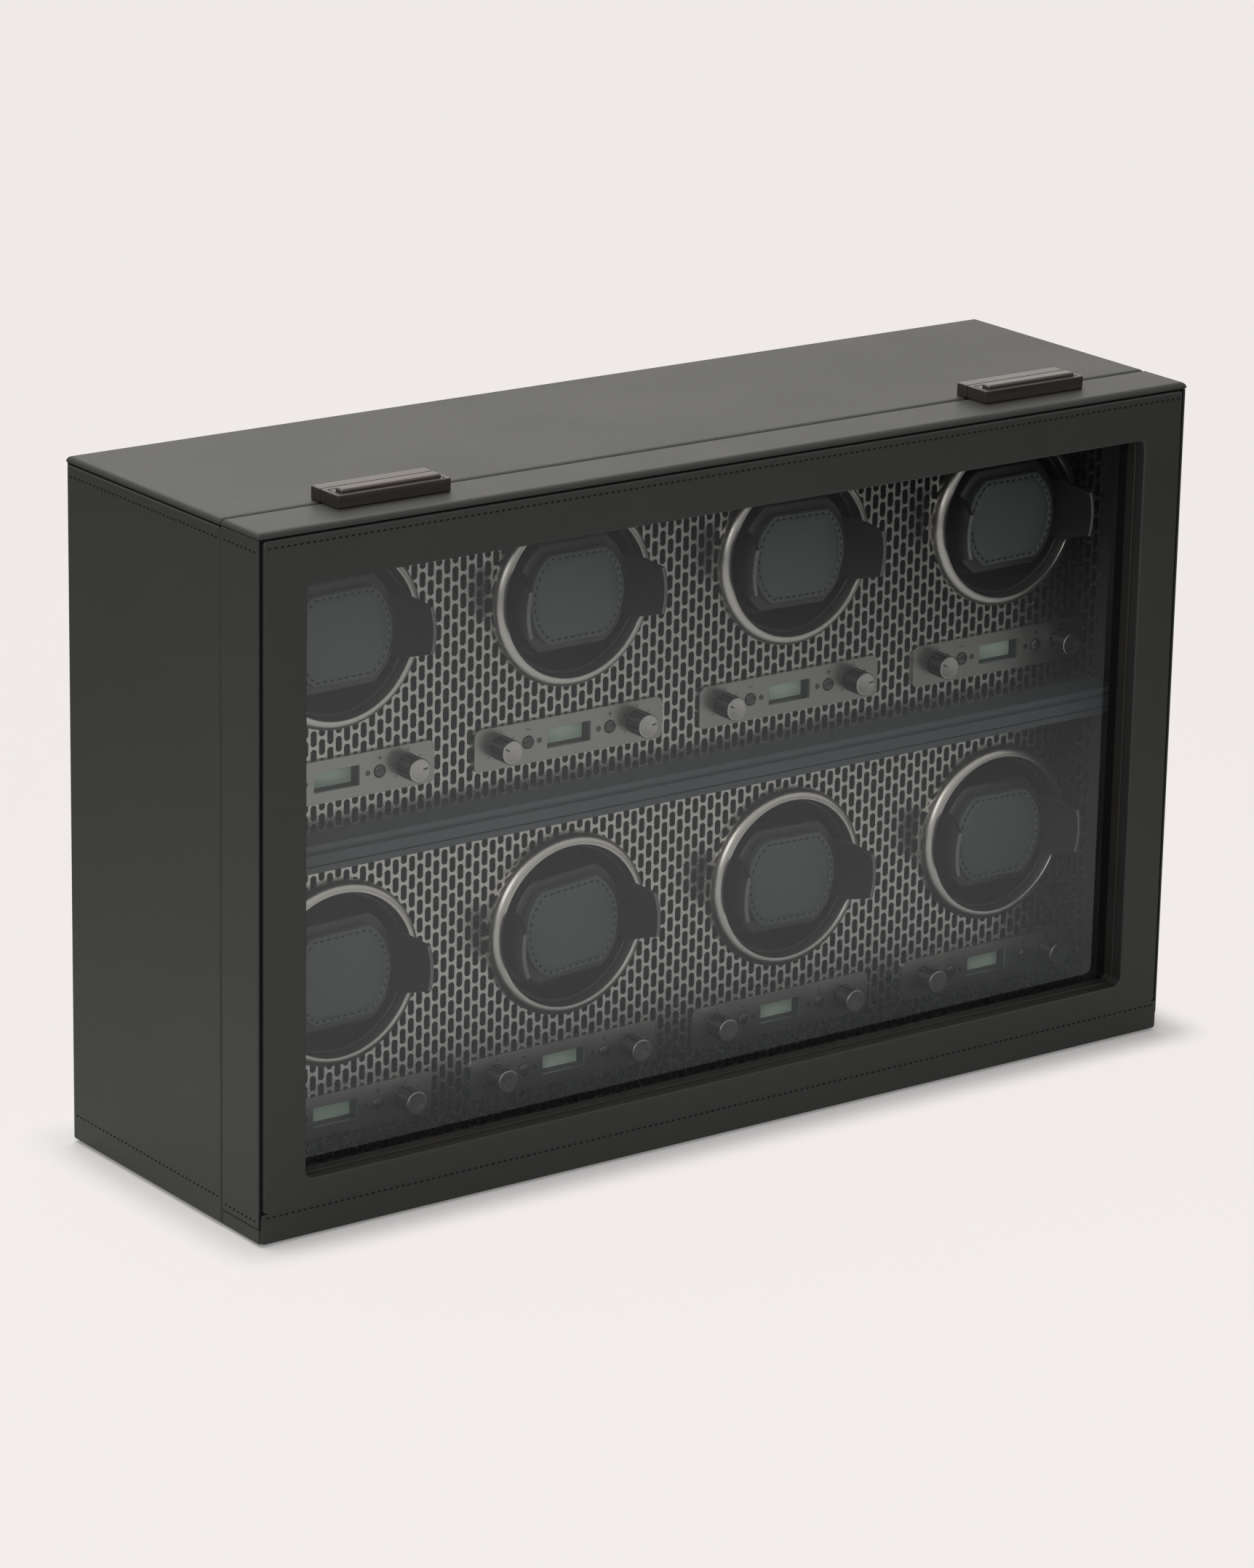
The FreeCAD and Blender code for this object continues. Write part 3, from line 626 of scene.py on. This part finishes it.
def buildLatches():
    s = latchShape
    bodies = bmesh.new()
    keepers = bmesh.new()
    for x in (-s["x"], s["x"]):
        low, high = x - s["half"], x + s["half"]
        verts = addBlock(bodies, (low, s["front"], s["low"]), (high, s["seam"][0], s["high"]))
        top = max(facesOf(verts), key=lambda f: f.calc_center_median().z)
        bmesh.ops.inset_region(bodies, faces=[top], thickness=1.0)
        halfPocket, front, back = s["pocket"]
        for vert in top.verts:
            vert.co.x = x + math.copysign(halfPocket, vert.co.x - x)
            vert.co.y = front if vert.co.y < (front + back) / 2 else back
        down = bmesh.ops.extrude_discrete_faces(bodies, faces=[top])["faces"]
        bmesh.ops.translate(bodies, verts=down[0].verts[:], vec=(0, 0, s["pocketFloor"] - s["high"]))
        softBlock(keepers, (low, s["seam"][1], s["low"]), (high, s["back"], s["high"]), s["edge"], 3)
    bmesh.ops.recalc_face_normals(bodies, faces=bodies.faces)
    roundEdges(bodies, cornerEdges(bodies), s["edge"], 3)
    finishPiece(bodies, "latchBodies", "latch", "door", ["latch_bodies"], flat=True)
    finishPiece(keepers, "latchKeepers", "latch", "case", ["latch_keepers"], flat=True)
    for name, x in (("left", -s["x"]), ("right", s["x"])):
        bm = bmesh.new()
        for half, front, back, low, high, edge, segments in s["lever"].values():
            softBlock(bm, (x - half, front, low), (x + half, back, high), edge, segments)
        body, node = "lever_" + name, "latch_lever_" + name
        finishPiece(bm, "latchLever_" + name, "latch", body, [node], flat=True)


buildLatches()
print("latches: bodies, keepers, levers")


# divider rail

railShape = {
    "half": 286.5, "front": -54.0, "groove": -52.2, "tail": -25.5, "edge": 0.5,
    "bands": ((177.0, 180.4), (181.0, 186.9), (188.8, 192.0)), "coreInset": 0.1, "coreLap": 1.0,
}


def buildRail():
    s = railShape
    bm = bmesh.new()
    for low, high in s["bands"]:
        softBlock(bm, (-s["half"], s["front"], low), (s["half"], s["tail"], high), s["edge"], 3)
    inset, lap = s["coreInset"], s["coreLap"]
    addBlock(bm, (-s["half"] + inset, s["groove"], s["bands"][0][0] + lap),
             (s["half"] - inset, s["tail"] - inset, s["bands"][-1][0] + lap))
    finishPiece(bm, "dividerRail", "rail", "case", ["divider_rail"], flat=True)


buildRail()


# perforated face plates

plateShape = {
    "half": 286.5, "front": -35.0, "thick": 0.9, "column": 5.0, "row": 9.75, "slotHalf": 1.82, "slotEnd": 4.1,
    "ringCover": 46.0, "controlCover": (57.0, 9.5), "spans": {"upper": (192.0, 360.5), "lower": (8.5, 177.0)},
}


def slotCell(bm):
    # One cell of sheet with an oblong hole. Its long sides have a middle point for the staggered neighbours.
    s = plateShape
    halfX, halfZ = s["column"] / 2, s["row"] / 2
    edges = outline(bm, rectangle(bm, (-halfX, -halfZ), (halfX, halfZ), 0))
    upEdges = [e for e in edges if abs(e.verts[0].co.z - e.verts[1].co.z) > 1]
    bmesh.ops.bisect_edges(bm, edges=upEdges, cuts=1)
    eighth = math.pi / 8
    turn = upright @ Matrix.Rotation(eighth, 4, "Z")
    radius = s["slotHalf"] / math.cos(eighth)
    hole = bmesh.ops.create_circle(bm, segments=8, radius=radius, matrix=turn)["verts"]
    for vert in hole:
        vert.co.z += math.copysign(s["slotEnd"] - s["slotHalf"], vert.co.z)
    bmesh.ops.triangle_fill(bm, use_beauty=True, use_dissolve=False, edges=bm.edges[:], normal=(0, -1, 0))


def repeat(bm, count, offsetOf):
    # Copies what is in the mesh so far, count times in all.
    first = bm.verts[:] + bm.edges[:] + bm.faces[:]
    for index in range(1, count):
        made = bmesh.ops.duplicate(bm, geom=first)["geom"]
        verts = [item for item in made if isinstance(item, bmesh.types.BMVert)]
        bmesh.ops.translate(bm, verts=verts, vec=offsetOf(index))


def pushClear(bm, centreX, centreZ):
    # Draws the sheet back from a rotor's and a control plate's opening. Both edges lie under trim.
    s = plateShape
    halfX, halfZ = s["controlCover"]
    controlZ = centreZ - places["controlDrop"]
    moved = set()
    for vert in bm.verts:
        dx, dz = vert.co.x - centreX, vert.co.z - centreZ
        reach = math.hypot(dx, dz)
        if reach < s["ringCover"]:
            share = s["ringCover"] / max(reach, 1e-3)
            vert.co.x, vert.co.z = centreX + dx * share, centreZ + dz * share
            moved.add(vert)
        elif abs(dx) < halfX and abs(vert.co.z - controlZ) < halfZ:
            vert.co.z = controlZ + math.copysign(halfZ, vert.co.z - controlZ)
            moved.add(vert)
    gone = [face for face in bm.faces if all(vert in moved for vert in face.verts)]
    bmesh.ops.delete(bm, geom=gone, context="FACES")


def buildPlates():
    s = plateShape
    for row, (low, high) in s["spans"].items():
        bm = bmesh.new()
        slotCell(bm)
        rows = math.ceil((high - low) / s["row"]) + 2
        columns = math.ceil(2 * s["half"] / s["column"]) + 1
        repeat(bm, rows, lambda index: (0, 0, index * s["row"]))
        repeat(bm, columns, lambda index: (index * s["column"], 0, -(index % 2) * s["row"] / 2))
        bmesh.ops.remove_doubles(bm, verts=bm.verts, dist=0.01)
        start = (-(columns - 1) / 2 * s["column"], s["front"], low)
        bmesh.ops.translate(bm, verts=bm.verts, vec=start)
        for point, normal in (((0, 0, low), (0, 0, -1)), ((0, 0, high), (0, 0, 1)),
                              ((-s["half"], 0, 0), (-1, 0, 0)), ((s["half"], 0, 0), (1, 0, 0))):
            cutAt(bm, point, normal, clear=True)
        for x in places["columns"]:
            pushClear(bm, x, places["rows"][row])
        loose = [vert for vert in bm.verts if not vert.link_faces]
        bmesh.ops.delete(bm, geom=loose, context="VERTS")
        thicken(bm, bm.faces[:], s["thick"])
        nodes = ["face_plates"] if row == "upper" else []
        finishPiece(bm, "facePlate_" + row, "plate", "case", nodes, 25)


buildPlates()
print("face plates: perforated")


# bezel rings

# profiles for the lathe are (radius, y) points
ringProfile = [
    (43.6, -32.0), (43.6, -41.2), (44.1, -41.8), (45.2, -41.85), (46.6, -41.5), (47.8, -40.8), (48.7, -39.7),
    (49.2, -38.5), (49.4, -37.2), (49.4, -35.0), (44.9, -35.0), (44.9, -32.0),
]


def buildRings():
    ring = bmesh.new()
    lathe(ring, ringProfile, 96)
    bm = bmesh.new()
    for row, number, x, z in eachPlace():
        addCopy(bm, ring, (x, 0, z))
    ring.free()
    finishPiece(bm, "bezelRings", "ring", "case", ["bezel_rings"], 40)


buildRings()
print("bezel rings")


# rotors

cupProfile = [
    (0, -4.5), (39.8, -4.5), (40.9, -5.0), (41.3, -6.2), (41.3, -36.2), (41.6, -36.5), (42.6, -36.5),
    (42.9, -36.2), (42.9, -1.5), (7.0, -1.5), (7.0, 2.5), (4.0, 2.5), (4.0, 15.5), (0, 15.5),
]
cuffShape = {
    "radius": 35.5, "halfHigh": 29.0, "front": -38.5, "deep": 13.0, "edge": 1.8,
    "stem": {"halfX": 15.0, "halfZ": 11.0, "back": -4.5, "lap": 2.0},
}
# root and tip are (radius, y, half height), shoulder is (y, half height)
wingShape = {
    "root": (34.5, -27.5, 14.0), "shoulder": (-42.5, 17.6), "tip": (44.4, -60.4, 12.6), "thick": 2.4,
    "edge": 0.7, "edgeFrom": -36.0,
}
# crown is (shrink, move along y) for each ring from the rolled edge inwards, with a groove for the stitches
padShape = {
    "radius": 29.7, "halfHigh": 24.0, "back": -38.6, "rise": 4.4, "roll": 1.3,
    "crown": ((0.95, -0.05), (0.975, 0.35), (0.975, -0.35), (0.88, -0.3), (0.7, -0.3), (0.4, -0.2)),
}
padStitch = {
    "pitch": 4.3, "length": 2.8, "width": 1.25, "height": 0.4, "slant": 6.0, "inset": 2.5, "sunk": 0.05,
    "corners": 240,
}


def flatSidedDisc(bm, radius, halfHigh, y, segments=72):
    # A round face in the XZ plane with its top and bottom cut straight.
    matrix = Matrix.Translation((0, y, 0)) @ upright
    bmesh.ops.create_circle(bm, cap_ends=True, segments=segments, radius=radius, matrix=matrix)
    for side in (-1, 1):
        cutAt(bm, (0, y, side * halfHigh), (0, 0, side), clear=True)
    return bm.faces[:]


def wing(bm, side):
    # A curved blade on a cone about the rotor's axis.
    s = wingShape
    rootR, rootY, rootHalf = s["root"]
    shoulderY, shoulderHalf = s["shoulder"]
    tipR, tipY, tipHalf = s["tip"]
    verts = bmesh.ops.create_grid(bm, x_segments=12, y_segments=14, size=1.0)["verts"]
    for vert in verts:
        across, share = vert.co.x, (vert.co.y + 1) / 2
        y = rootY + (tipY - rootY) * share
        radius = rootR + (tipR - rootR) * share
        if y > shoulderY:
            half = rootHalf + (shoulderHalf - rootHalf) * (rootY - y) / (rootY - shoulderY)
        else:
            half = shoulderHalf + (tipHalf - shoulderHalf) * (shoulderY - y) / (shoulderY - tipY)
        z = across * half
        vert.co = (side * math.sqrt(radius ** 2 - z ** 2), y, z)
    faces = facesOf(verts)
    bmesh.ops.recalc_face_normals(bm, faces=faces)
    outward = sum(f.normal.x * f.calc_center_median().x for f in faces)
    if outward < 0:
        bmesh.ops.reverse_faces(bm, faces=faces)
    bmesh.ops.solidify(bm, geom=faces, thickness=s["thick"])


def buildRotors():
    cup = bmesh.new()
    lathe(cup, cupProfile, 80)

    s = cuffShape
    cuff = bmesh.new()
    thicken(cuff, flatSidedDisc(cuff, s["radius"], s["halfHigh"], s["front"]), s["deep"])
    roundEdges(cuff, cornerEdges(cuff, degrees=40), s["edge"], 4)
    stem = s["stem"]
    addBlock(cuff, (-stem["halfX"], s["front"] + s["deep"] - stem["lap"], -stem["halfZ"]),
             (stem["halfX"], stem["back"], stem["halfZ"]))
    highlightEnd = wingShape["tip"][1] + wingShape["edge"]
    for side in (-1, 1):
        blade = bmesh.new()
        wing(blade, side)
        edges = cornerEdges(blade, lambda p: p.y < wingShape["edgeFrom"], 50)
        roundEdges(blade, edges, wingShape["edge"], 3)
        # faces at the tip's front edge take the second finish, the painted highlight
        for face in blade.faces:
            face.material_index = 1 if face.calc_center_median().y < highlightEnd else 0
        addCopy(cuff, blade, (0, 0, 0))
        blade.free()

    s = padShape
    pad = bmesh.new()
    face = flatSidedDisc(pad, s["radius"], s["halfHigh"], s["back"] - s["rise"], 96)
    thicken(pad, face, s["rise"])
    roundEdges(pad, list(frontFace(pad).edges), s["roll"], 4)
    front = frontFace(pad)
    for shrink, lift in s["crown"]:
        front = bmesh.ops.extrude_discrete_faces(pad, faces=[front])["faces"][0]
        bmesh.ops.scale(pad, vec=(shrink, 1, shrink), verts=front.verts[:])
        bmesh.ops.translate(pad, verts=front.verts[:], vec=(0, lift, 0))
    bmesh.ops.poke(pad, faces=[front])

    thread = bmesh.new()
    radius, half = s["radius"] - padStitch["inset"], s["halfHigh"] - padStitch["inset"]
    y = s["back"] - s["rise"] + padStitch["sunk"]
    corners = padStitch["corners"]
    turns = [2 * math.pi * index / corners for index in range(corners + 1)]
    loop = [(radius * math.cos(a), y, max(-half, min(half, radius * math.sin(a)))) for a in turns]
    stitchRow(thread, loop, (0, -1, 0), padStitch)

    for row, number, x, z in eachPlace():
        body = f"rotor_{row}_{number}"
        angle = places["restAngles"][row][number - 1]
        label = f"{row}_{number}"
        at = (x, 0, z)
        finishPiece(copyAt(cup, at, angle), "cup_" + label, "cup", body, [body], 40)
        finishPiece(copyAt(cuff, at, angle), "cuff_" + label, ["cuff", "wingHighlight"], body,
                    sharp=40)
        cushion = finishPiece(copyAt(pad, at, angle), "pad_" + label, "pad", body, sharp=50)
        finishPiece(copyAt(thread, at, angle), "padStitches_" + label, "thread", body)
    for part in (cup, cuff, pad, thread):
        part.free()


buildRotors()
print("rotors: cups, cuffs, pads, stitches")


# control plates, displays and markings

# holes are (x, radius) for the knobs, buttons and lenses
controlShape = {
    "halfX": 59.3, "halfZ": 11.3, "front": -37.0, "thick": 2.0, "topCorner": 4.0, "lowCorner": 3.0,
    "edge": 0.45, "window": (13.7, 5.35), "windowCorner": 0.5, "knobX": 43.0, "buttonX": 25.9,
    "holes": ((43.0, 3.12), (25.9, 3.6), (18.75, 1.5)),
}
markShape = {
    "proud": 0.06, "sunk": 0.02, "signZ": 7.0, "signLong": 2.8, "signWide": 0.55,
    "tickRadius": 8.6, "tick": (0.45, 1.6), "tickTurns": (-120, -60, 0, 60, 120),
}
displayShape = {
    "front": -28.6, "back": -28.1, "half": (14.6, 6.3), "edge": 0.1,
    "tube": {"front": -34.95, "deep": 6.3, "wall": 0.6, "corner": 0.3},
}


def controlPlate():
    s = controlShape
    bm = bmesh.new()
    face = rectangle(bm, (-s["halfX"], -s["halfZ"]), (s["halfX"], s["halfZ"]), s["front"])
    for sign, radius in ((1, s["topCorner"]), (-1, s["lowCorner"])):
        corners = [v for v in bm.verts
                   if v.co.z * sign > s["halfZ"] - 1e-4 and abs(v.co.x) > s["halfX"] - 1e-4]
        bmesh.ops.bevel(bm, geom=corners, offset=radius, offset_type="OFFSET", affect="VERTICES", segments=8,
                        profile=0.5, material=-1)
    outline(bm, bm.faces[:][0])
    halfX, halfZ = s["window"]
    outline(bm, rectangle(bm, (-halfX, -halfZ), (halfX, halfZ), s["front"], s["windowCorner"], 3))
    for side in (-1, 1):
        for x, radius in s["holes"]:
            matrix = Matrix.Translation((side * x, s["front"], 0)) @ upright
            bmesh.ops.create_circle(bm, segments=32, radius=radius, matrix=matrix)
    bmesh.ops.triangle_fill(bm, use_beauty=True, use_dissolve=False, edges=bm.edges[:], normal=(0, -1, 0))
    thicken(bm, bm.faces[:], s["thick"])
    return bm


def addMark(bm, x, z, sizeX, sizeZ, degrees=0.0):
    verts = addBlock(bm, (-sizeX / 2, -markShape["proud"], -sizeZ / 2),
                     (sizeX / 2, markShape["sunk"], sizeZ / 2))
    turn = Matrix.Rotation(math.radians(degrees), 4, "Y")
    bmesh.ops.transform(bm, matrix=Matrix.Translation((x, controlShape["front"], z)) @ turn, verts=verts)


def controlMarks():
    # Plus and minus over the buttons and a scale of ticks round each knob.
    s = markShape
    buttonX, knobX = controlShape["buttonX"], controlShape["knobX"]
    bm = bmesh.new()
    for x in (-buttonX, buttonX):
        addMark(bm, x, s["signZ"], s["signLong"], s["signWide"])
    addMark(bm, buttonX, s["signZ"], s["signWide"], s["signLong"])
    for side in (-1, 1):
        for degrees in s["tickTurns"]:
            angle = math.radians(degrees)
            x, z = s["tickRadius"] * math.sin(angle), s["tickRadius"] * math.cos(angle)
            addMark(bm, side * knobX + x, z, *s["tick"], degrees)
    return bm


def buildControls():
    plate, marks = controlPlate(), controlMarks()
    plates, allMarks, screens, tubes = (bmesh.new() for _ in range(4))
    s = displayShape
    halfX, halfZ = s["half"]
    screen = bmesh.new()
    softBlock(screen, (-halfX, s["front"], -halfZ), (halfX, s["back"], halfZ), s["edge"], 2)
    tube = bmesh.new()
    front, deep, wall, corner = (s["tube"][key] for key in ("front", "deep", "wall", "corner"))
    tight = (halfX - wall, -halfZ + wall, halfZ - wall)
    thicken(tube, windowFrame(tube, (halfX, -halfZ, halfZ), tight, front, (corner, corner), 2), deep)
    for row, number, x, z in eachPlace():
        at = (x, 0, z - places["controlDrop"])
        for whole, part in ((plates, plate), (allMarks, marks), (screens, screen), (tubes, tube)):
            addCopy(whole, part, at)
    for part in (plate, marks, screen, tube):
        part.free()
    finished = finishPiece(plates, "controlPlates", "control", "case", ["control_plates"],
                           sharp=30)
    bevel = finished.modifiers.new("edge", "BEVEL")
    bevel.width = controlShape["edge"] * toMetres
    bevel.segments = 2
    bevel.limit_method = "ANGLE"
    bevel.angle_limit = math.radians(50)
    finishPiece(allMarks, "controlMarks", "paint", "case")
    finishPiece(screens, "displays", "display", "case")
    finishPiece(tubes, "displayTubes", "dark", "case")


knobShape = {
    "radius": 6.5, "nose": -48.0, "base": -37.4, "flutes": 14, "fluteDeep": 0.7, "fluteEdge": 0.02,
    "shaft": (3.0, -25.5),
    "cap": {"radius": 6.2, "thick": 0.7, "sunk": 0.2, "edge": 0.35, "rim": 0.9, "dish": 0.15},
    "pointer": {"half": 0.45, "from": 2.2, "to": 5.0, "proud": 0.05, "sunk": 0.3, "edge": 0.08},
}
knobTurns = {"left": -60.0, "right": 80.0}  # where the pointers stand, clockwise from the top
buttonProfile = [
    (0, -38.5), (1.3, -38.44), (2.4, -38.24), (3.0, -38.02), (3.3, -37.7), (3.3, -34.7), (4.4, -34.7),
    (4.4, -33.5), (3.3, -33.5), (3.3, -26.3), (0, -26.3),
]


def rod(bm, radius, front, back, segments):
    matrix = Matrix.Translation((0, (front + back) / 2, 0)) @ upright
    bmesh.ops.create_cone(bm, cap_ends=True, segments=segments, radius1=radius, radius2=radius,
                          depth=back - front, matrix=matrix)


def knobBody():
    s = knobShape
    bm = bmesh.new()
    rod(bm, s["radius"], s["nose"] + s["cap"]["thick"], s["base"], s["flutes"] * 4)
    sides = [f for f in bm.faces if abs(f.normal.y) < 0.5]
    sides.sort(key=lambda f: math.atan2(f.calc_center_median().z, f.calc_center_median().x))
    pairs = [f for index, f in enumerate(sides) if index % 4 < 2]
    bmesh.ops.inset_individual(bm, faces=pairs, thickness=s["fluteEdge"], depth=0)
    for face in pairs:
        middle = face.calc_center_median()
        push = Vector((middle.x, 0, middle.z)).normalized() * -s["fluteDeep"]
        bmesh.ops.translate(bm, verts=face.verts[:], vec=push)
    radius, end = s["shaft"]
    rod(bm, radius, s["base"], end, 24)
    bmesh.ops.recalc_face_normals(bm, faces=bm.faces)
    cap = bmesh.new()
    c = s["cap"]
    rod(cap, c["radius"], s["nose"], s["nose"] + c["thick"] + c["sunk"], 56)
    roundEdges(cap, list(frontFace(cap).edges), c["edge"], 3)
    front = frontFace(cap)
    bmesh.ops.inset_region(cap, faces=[front], thickness=c["rim"])
    bmesh.ops.translate(cap, verts=front.verts[:], vec=(0, c["dish"], 0))
    bmesh.ops.recalc_face_normals(cap, faces=cap.faces)
    for face in cap.faces:
        face.material_index = 1
    addCopy(bm, cap, (0, 0, 0))
    cap.free()
    return bm


def buildKnobs():
    knob = knobBody()
    p = knobShape["pointer"]
    nose = knobShape["nose"]
    pointer = bmesh.new()
    softBlock(pointer, (-p["half"], nose - p["proud"], p["from"]), (p["half"], nose + p["sunk"], p["to"]),
              p["edge"], 2)
    button = bmesh.new()
    lathe(button, buttonProfile, 32)
    s = controlShape
    for row, number, x, z in eachPlace():
        level = z - places["controlDrop"]
        for name, side in (("left", -1), ("right", 1)):
            body = f"knob_{row}_{number}_{name}"
            at = (x + side * s["knobX"], 0, level)
            finishPiece(copyAt(knob, at), body + "_metal", ["knobSide", "knob"], body,
                        [body], 32)
            finishPiece(copyAt(pointer, at, -knobTurns[name]), body + "_pointer", "dark", body)
        for name, side in (("minus", -1), ("plus", 1)):
            body = f"button_{row}_{number}_{name}"
            at = (x + side * s["buttonX"], 0, level)
            finishPiece(copyAt(button, at), body + "_cap", "button", body, [body], 40)
    for part in (knob, pointer, button):
        part.free()


buildControls()
buildKnobs()
print("controls: plates, marks, displays, knobs, buttons")


# pieces kept from the CAD model

keptNodes = {
    "back_panel": "lining", "back_screws": "screw", "dc_inlet": "dark", "feet": "felt",
    "rotor_housings": "dark", "gear_motors": "motor", "control_boards": "board", "indicator_lenses": "lens",
}
for node, finish in keptNodes.items():
    dress(node, finish)
print("kept from the CAD model:", len(keptNodes), "nodes")


# floor, light and camera

# shade is how the floor brightens away from the box: (distance, first share, last share)
# edge is the painted shade tone that the floor darkens to towards the right, the back and far off
studio = {
    "floor": (0.93, 0.92, 0.91), "edge": (0.05, 0.05, 0.05), "floorSize": 14.0, "boxHalf": (0.295, 0.09),
    "shade": (0.032, 0.2, 0.97), "mirroredShade": (0.4, 0.08, 0.97),
    "farFade": (0.9, 1.6), "rightFade": (0.0, 1.05), "backFade": (-0.2, 0.7, 0.0, 0.76),
    "world": (0.94, 0.96, 1.0), "worldLight": 0.37, "backdrop": (0.890, 0.848, 0.825),
}
lamps = {
    "overhead": {"at": (-0.25, 0.55, 2.1), "aim": (0, 0, 0.3), "size": (2.2, 1.4), "power": 34.0,
                 "colour": (1.0, 1.0, 0.97)},
    "frontLeft": {"at": (-1.9, -1.9, 1.5), "aim": (0, 0, 0.2), "size": (1.4, 1.4), "power": 19.0,
                  "colour": (1.0, 1.0, 1.0)},
    "backdrop": {"at": (1.9, 2.6, 1.1), "aim": (0, 0, 0.35), "size": (3.6, 1.6), "power": 8.0,
                 "colour": (1.0, 1.0, 0.93)},
}
cameraShape = {"azimuth": -36.318, "elevation": 17.488, "roll": 1.1116, "distance": 3.15257,
               "target": (0.013794, 0.028, 0.159458), "lens": 135.094}


def between(value, low, high, first=0.0, last=1.0):
    return value.node("MapRange", {"interpolation_type": "SMOOTHSTEP"}, {
        "Value": value, "From Min": low, "From Max": high, "To Min": first, "To Max": last})


def raysOf(place, *kinds):
    total = 0.0
    for kind in kinds:
        total = total + place.node("LightPath", output=f"Is {kind} Ray")
    return total


def floorSurface(place):
    # Paper with painted shade that darkens it to the right, the back and far off. Seen straight, or in metal
    # and glass where the painted shade is slight, it looks evenly lit but for the shade close to the box.
    x = place.node("SeparateXYZ", None, {"Vector": place}, "X")
    y = place.node("SeparateXYZ", None, {"Vector": place}, "Y")
    outX, outY = (place.math("MAXIMUM", place.math("ABSOLUTE", along, 0.0) - half, 0.0)
                  for along, half in zip((x, y), studio["boxHalf"]))
    away = (outX ** 2.0 + outY ** 2.0) ** 0.5  # distance from the box
    paintedShade = place.math("MAXIMUM", between(x, *studio["rightFade"]), between(y, *studio["backFade"]))
    paintedShade = place.math("MAXIMUM", paintedShade, between(away, *studio["farFade"]))
    pale, dark = (place.node("BsdfDiffuse", None, {"Color": (*studio[tone], 1)})
                  for tone in ("floor", "edge"))
    paper = place.node("MixShader", None, {0: paintedShade, 1: pale, 2: dark})
    shine = place.node("Emission", None, {"Color": (*studio["backdrop"], 1), "Strength": 1.0})
    straight = raysOf(place, "Camera") * between(away, 0.0, *studio["shade"])
    # the floor's reflections carry the same painted shade
    mirrored = raysOf(place, "Glossy", "Transmission") * (1 - paintedShade)
    mirrored = mirrored * between(away, 0.0, *studio["mirroredShade"])
    glow = straight + mirrored
    return place.node("MixShader", None, {0: glow, 1: paper, 2: shine})


def buildStudio():
    bm = bmesh.new()
    bmesh.ops.create_grid(bm, x_segments=1, y_segments=1, size=studio["floorSize"] / 2)
    mesh = bpy.data.meshes.new("floor")
    bm.to_mesh(mesh)
    bm.free()
    mesh.materials.append(makeFinish("floor paper", floorSurface))
    floor = bpy.data.objects.new("floor", mesh)
    bpy.context.scene.collection.objects.link(floor)
    world = bpy.data.worlds.new("studio")
    world.use_nodes = True
    world.node_tree.nodes.clear()
    start = Wire(world.node_tree.nodes.new("ShaderNodeLightPath").outputs[0])
    seen = raysOf(start, "Camera", "Glossy", "Transmission")
    light = seen.node("Background", None, {"Color": (*studio["world"], 1), "Strength": studio["worldLight"]})
    wall = seen.node("Background", None, {"Color": (*studio["backdrop"], 1), "Strength": 1.0})
    seen.node("OutputWorld", None, {"Surface": seen.node("MixShader", None, {0: seen, 1: light, 2: wall})})
    bpy.context.scene.world = world
    for name, shape in lamps.items():
        lamp = bpy.data.lights.new(name, "AREA")
        lamp.shape = "RECTANGLE"
        lamp.size, lamp.size_y = shape["size"]
        lamp.energy = shape["power"]
        lamp.color = shape["colour"]
        holder = bpy.data.objects.new(name, lamp)
        holder.location = shape["at"]
        aim = Vector(shape["aim"]) - Vector(shape["at"])
        holder.rotation_euler = aim.to_track_quat("-Z", "Y").to_euler()
        bpy.context.scene.collection.objects.link(holder)


def buildCamera():
    s = cameraShape
    turn, lift, roll = (math.radians(s[key]) for key in ("azimuth", "elevation", "roll"))
    back = Vector((math.sin(turn) * math.cos(lift), -math.cos(turn) * math.cos(lift), math.sin(lift)))
    right = (-back).cross(Vector((0, 0, 1))).normalized()
    up = right.cross(-back)
    across = right * math.cos(roll) + up * math.sin(roll)
    over = up * math.cos(roll) - right * math.sin(roll)
    lens = bpy.data.cameras.new("camera")
    lens.lens = s["lens"]
    lens.clip_start, lens.clip_end = 0.1, 60.0
    camera = bpy.data.objects.new("camera", lens)
    matrix = Matrix((across, over, back)).transposed().to_4x4()
    matrix.translation = Vector(s["target"]) + back * s["distance"]
    camera.matrix_world = matrix
    bpy.context.scene.collection.objects.link(camera)
    bpy.context.scene.camera = camera


buildStudio()
buildCamera()
bpy.context.scene.view_settings.view_transform = "Standard"
print("studio and camera")
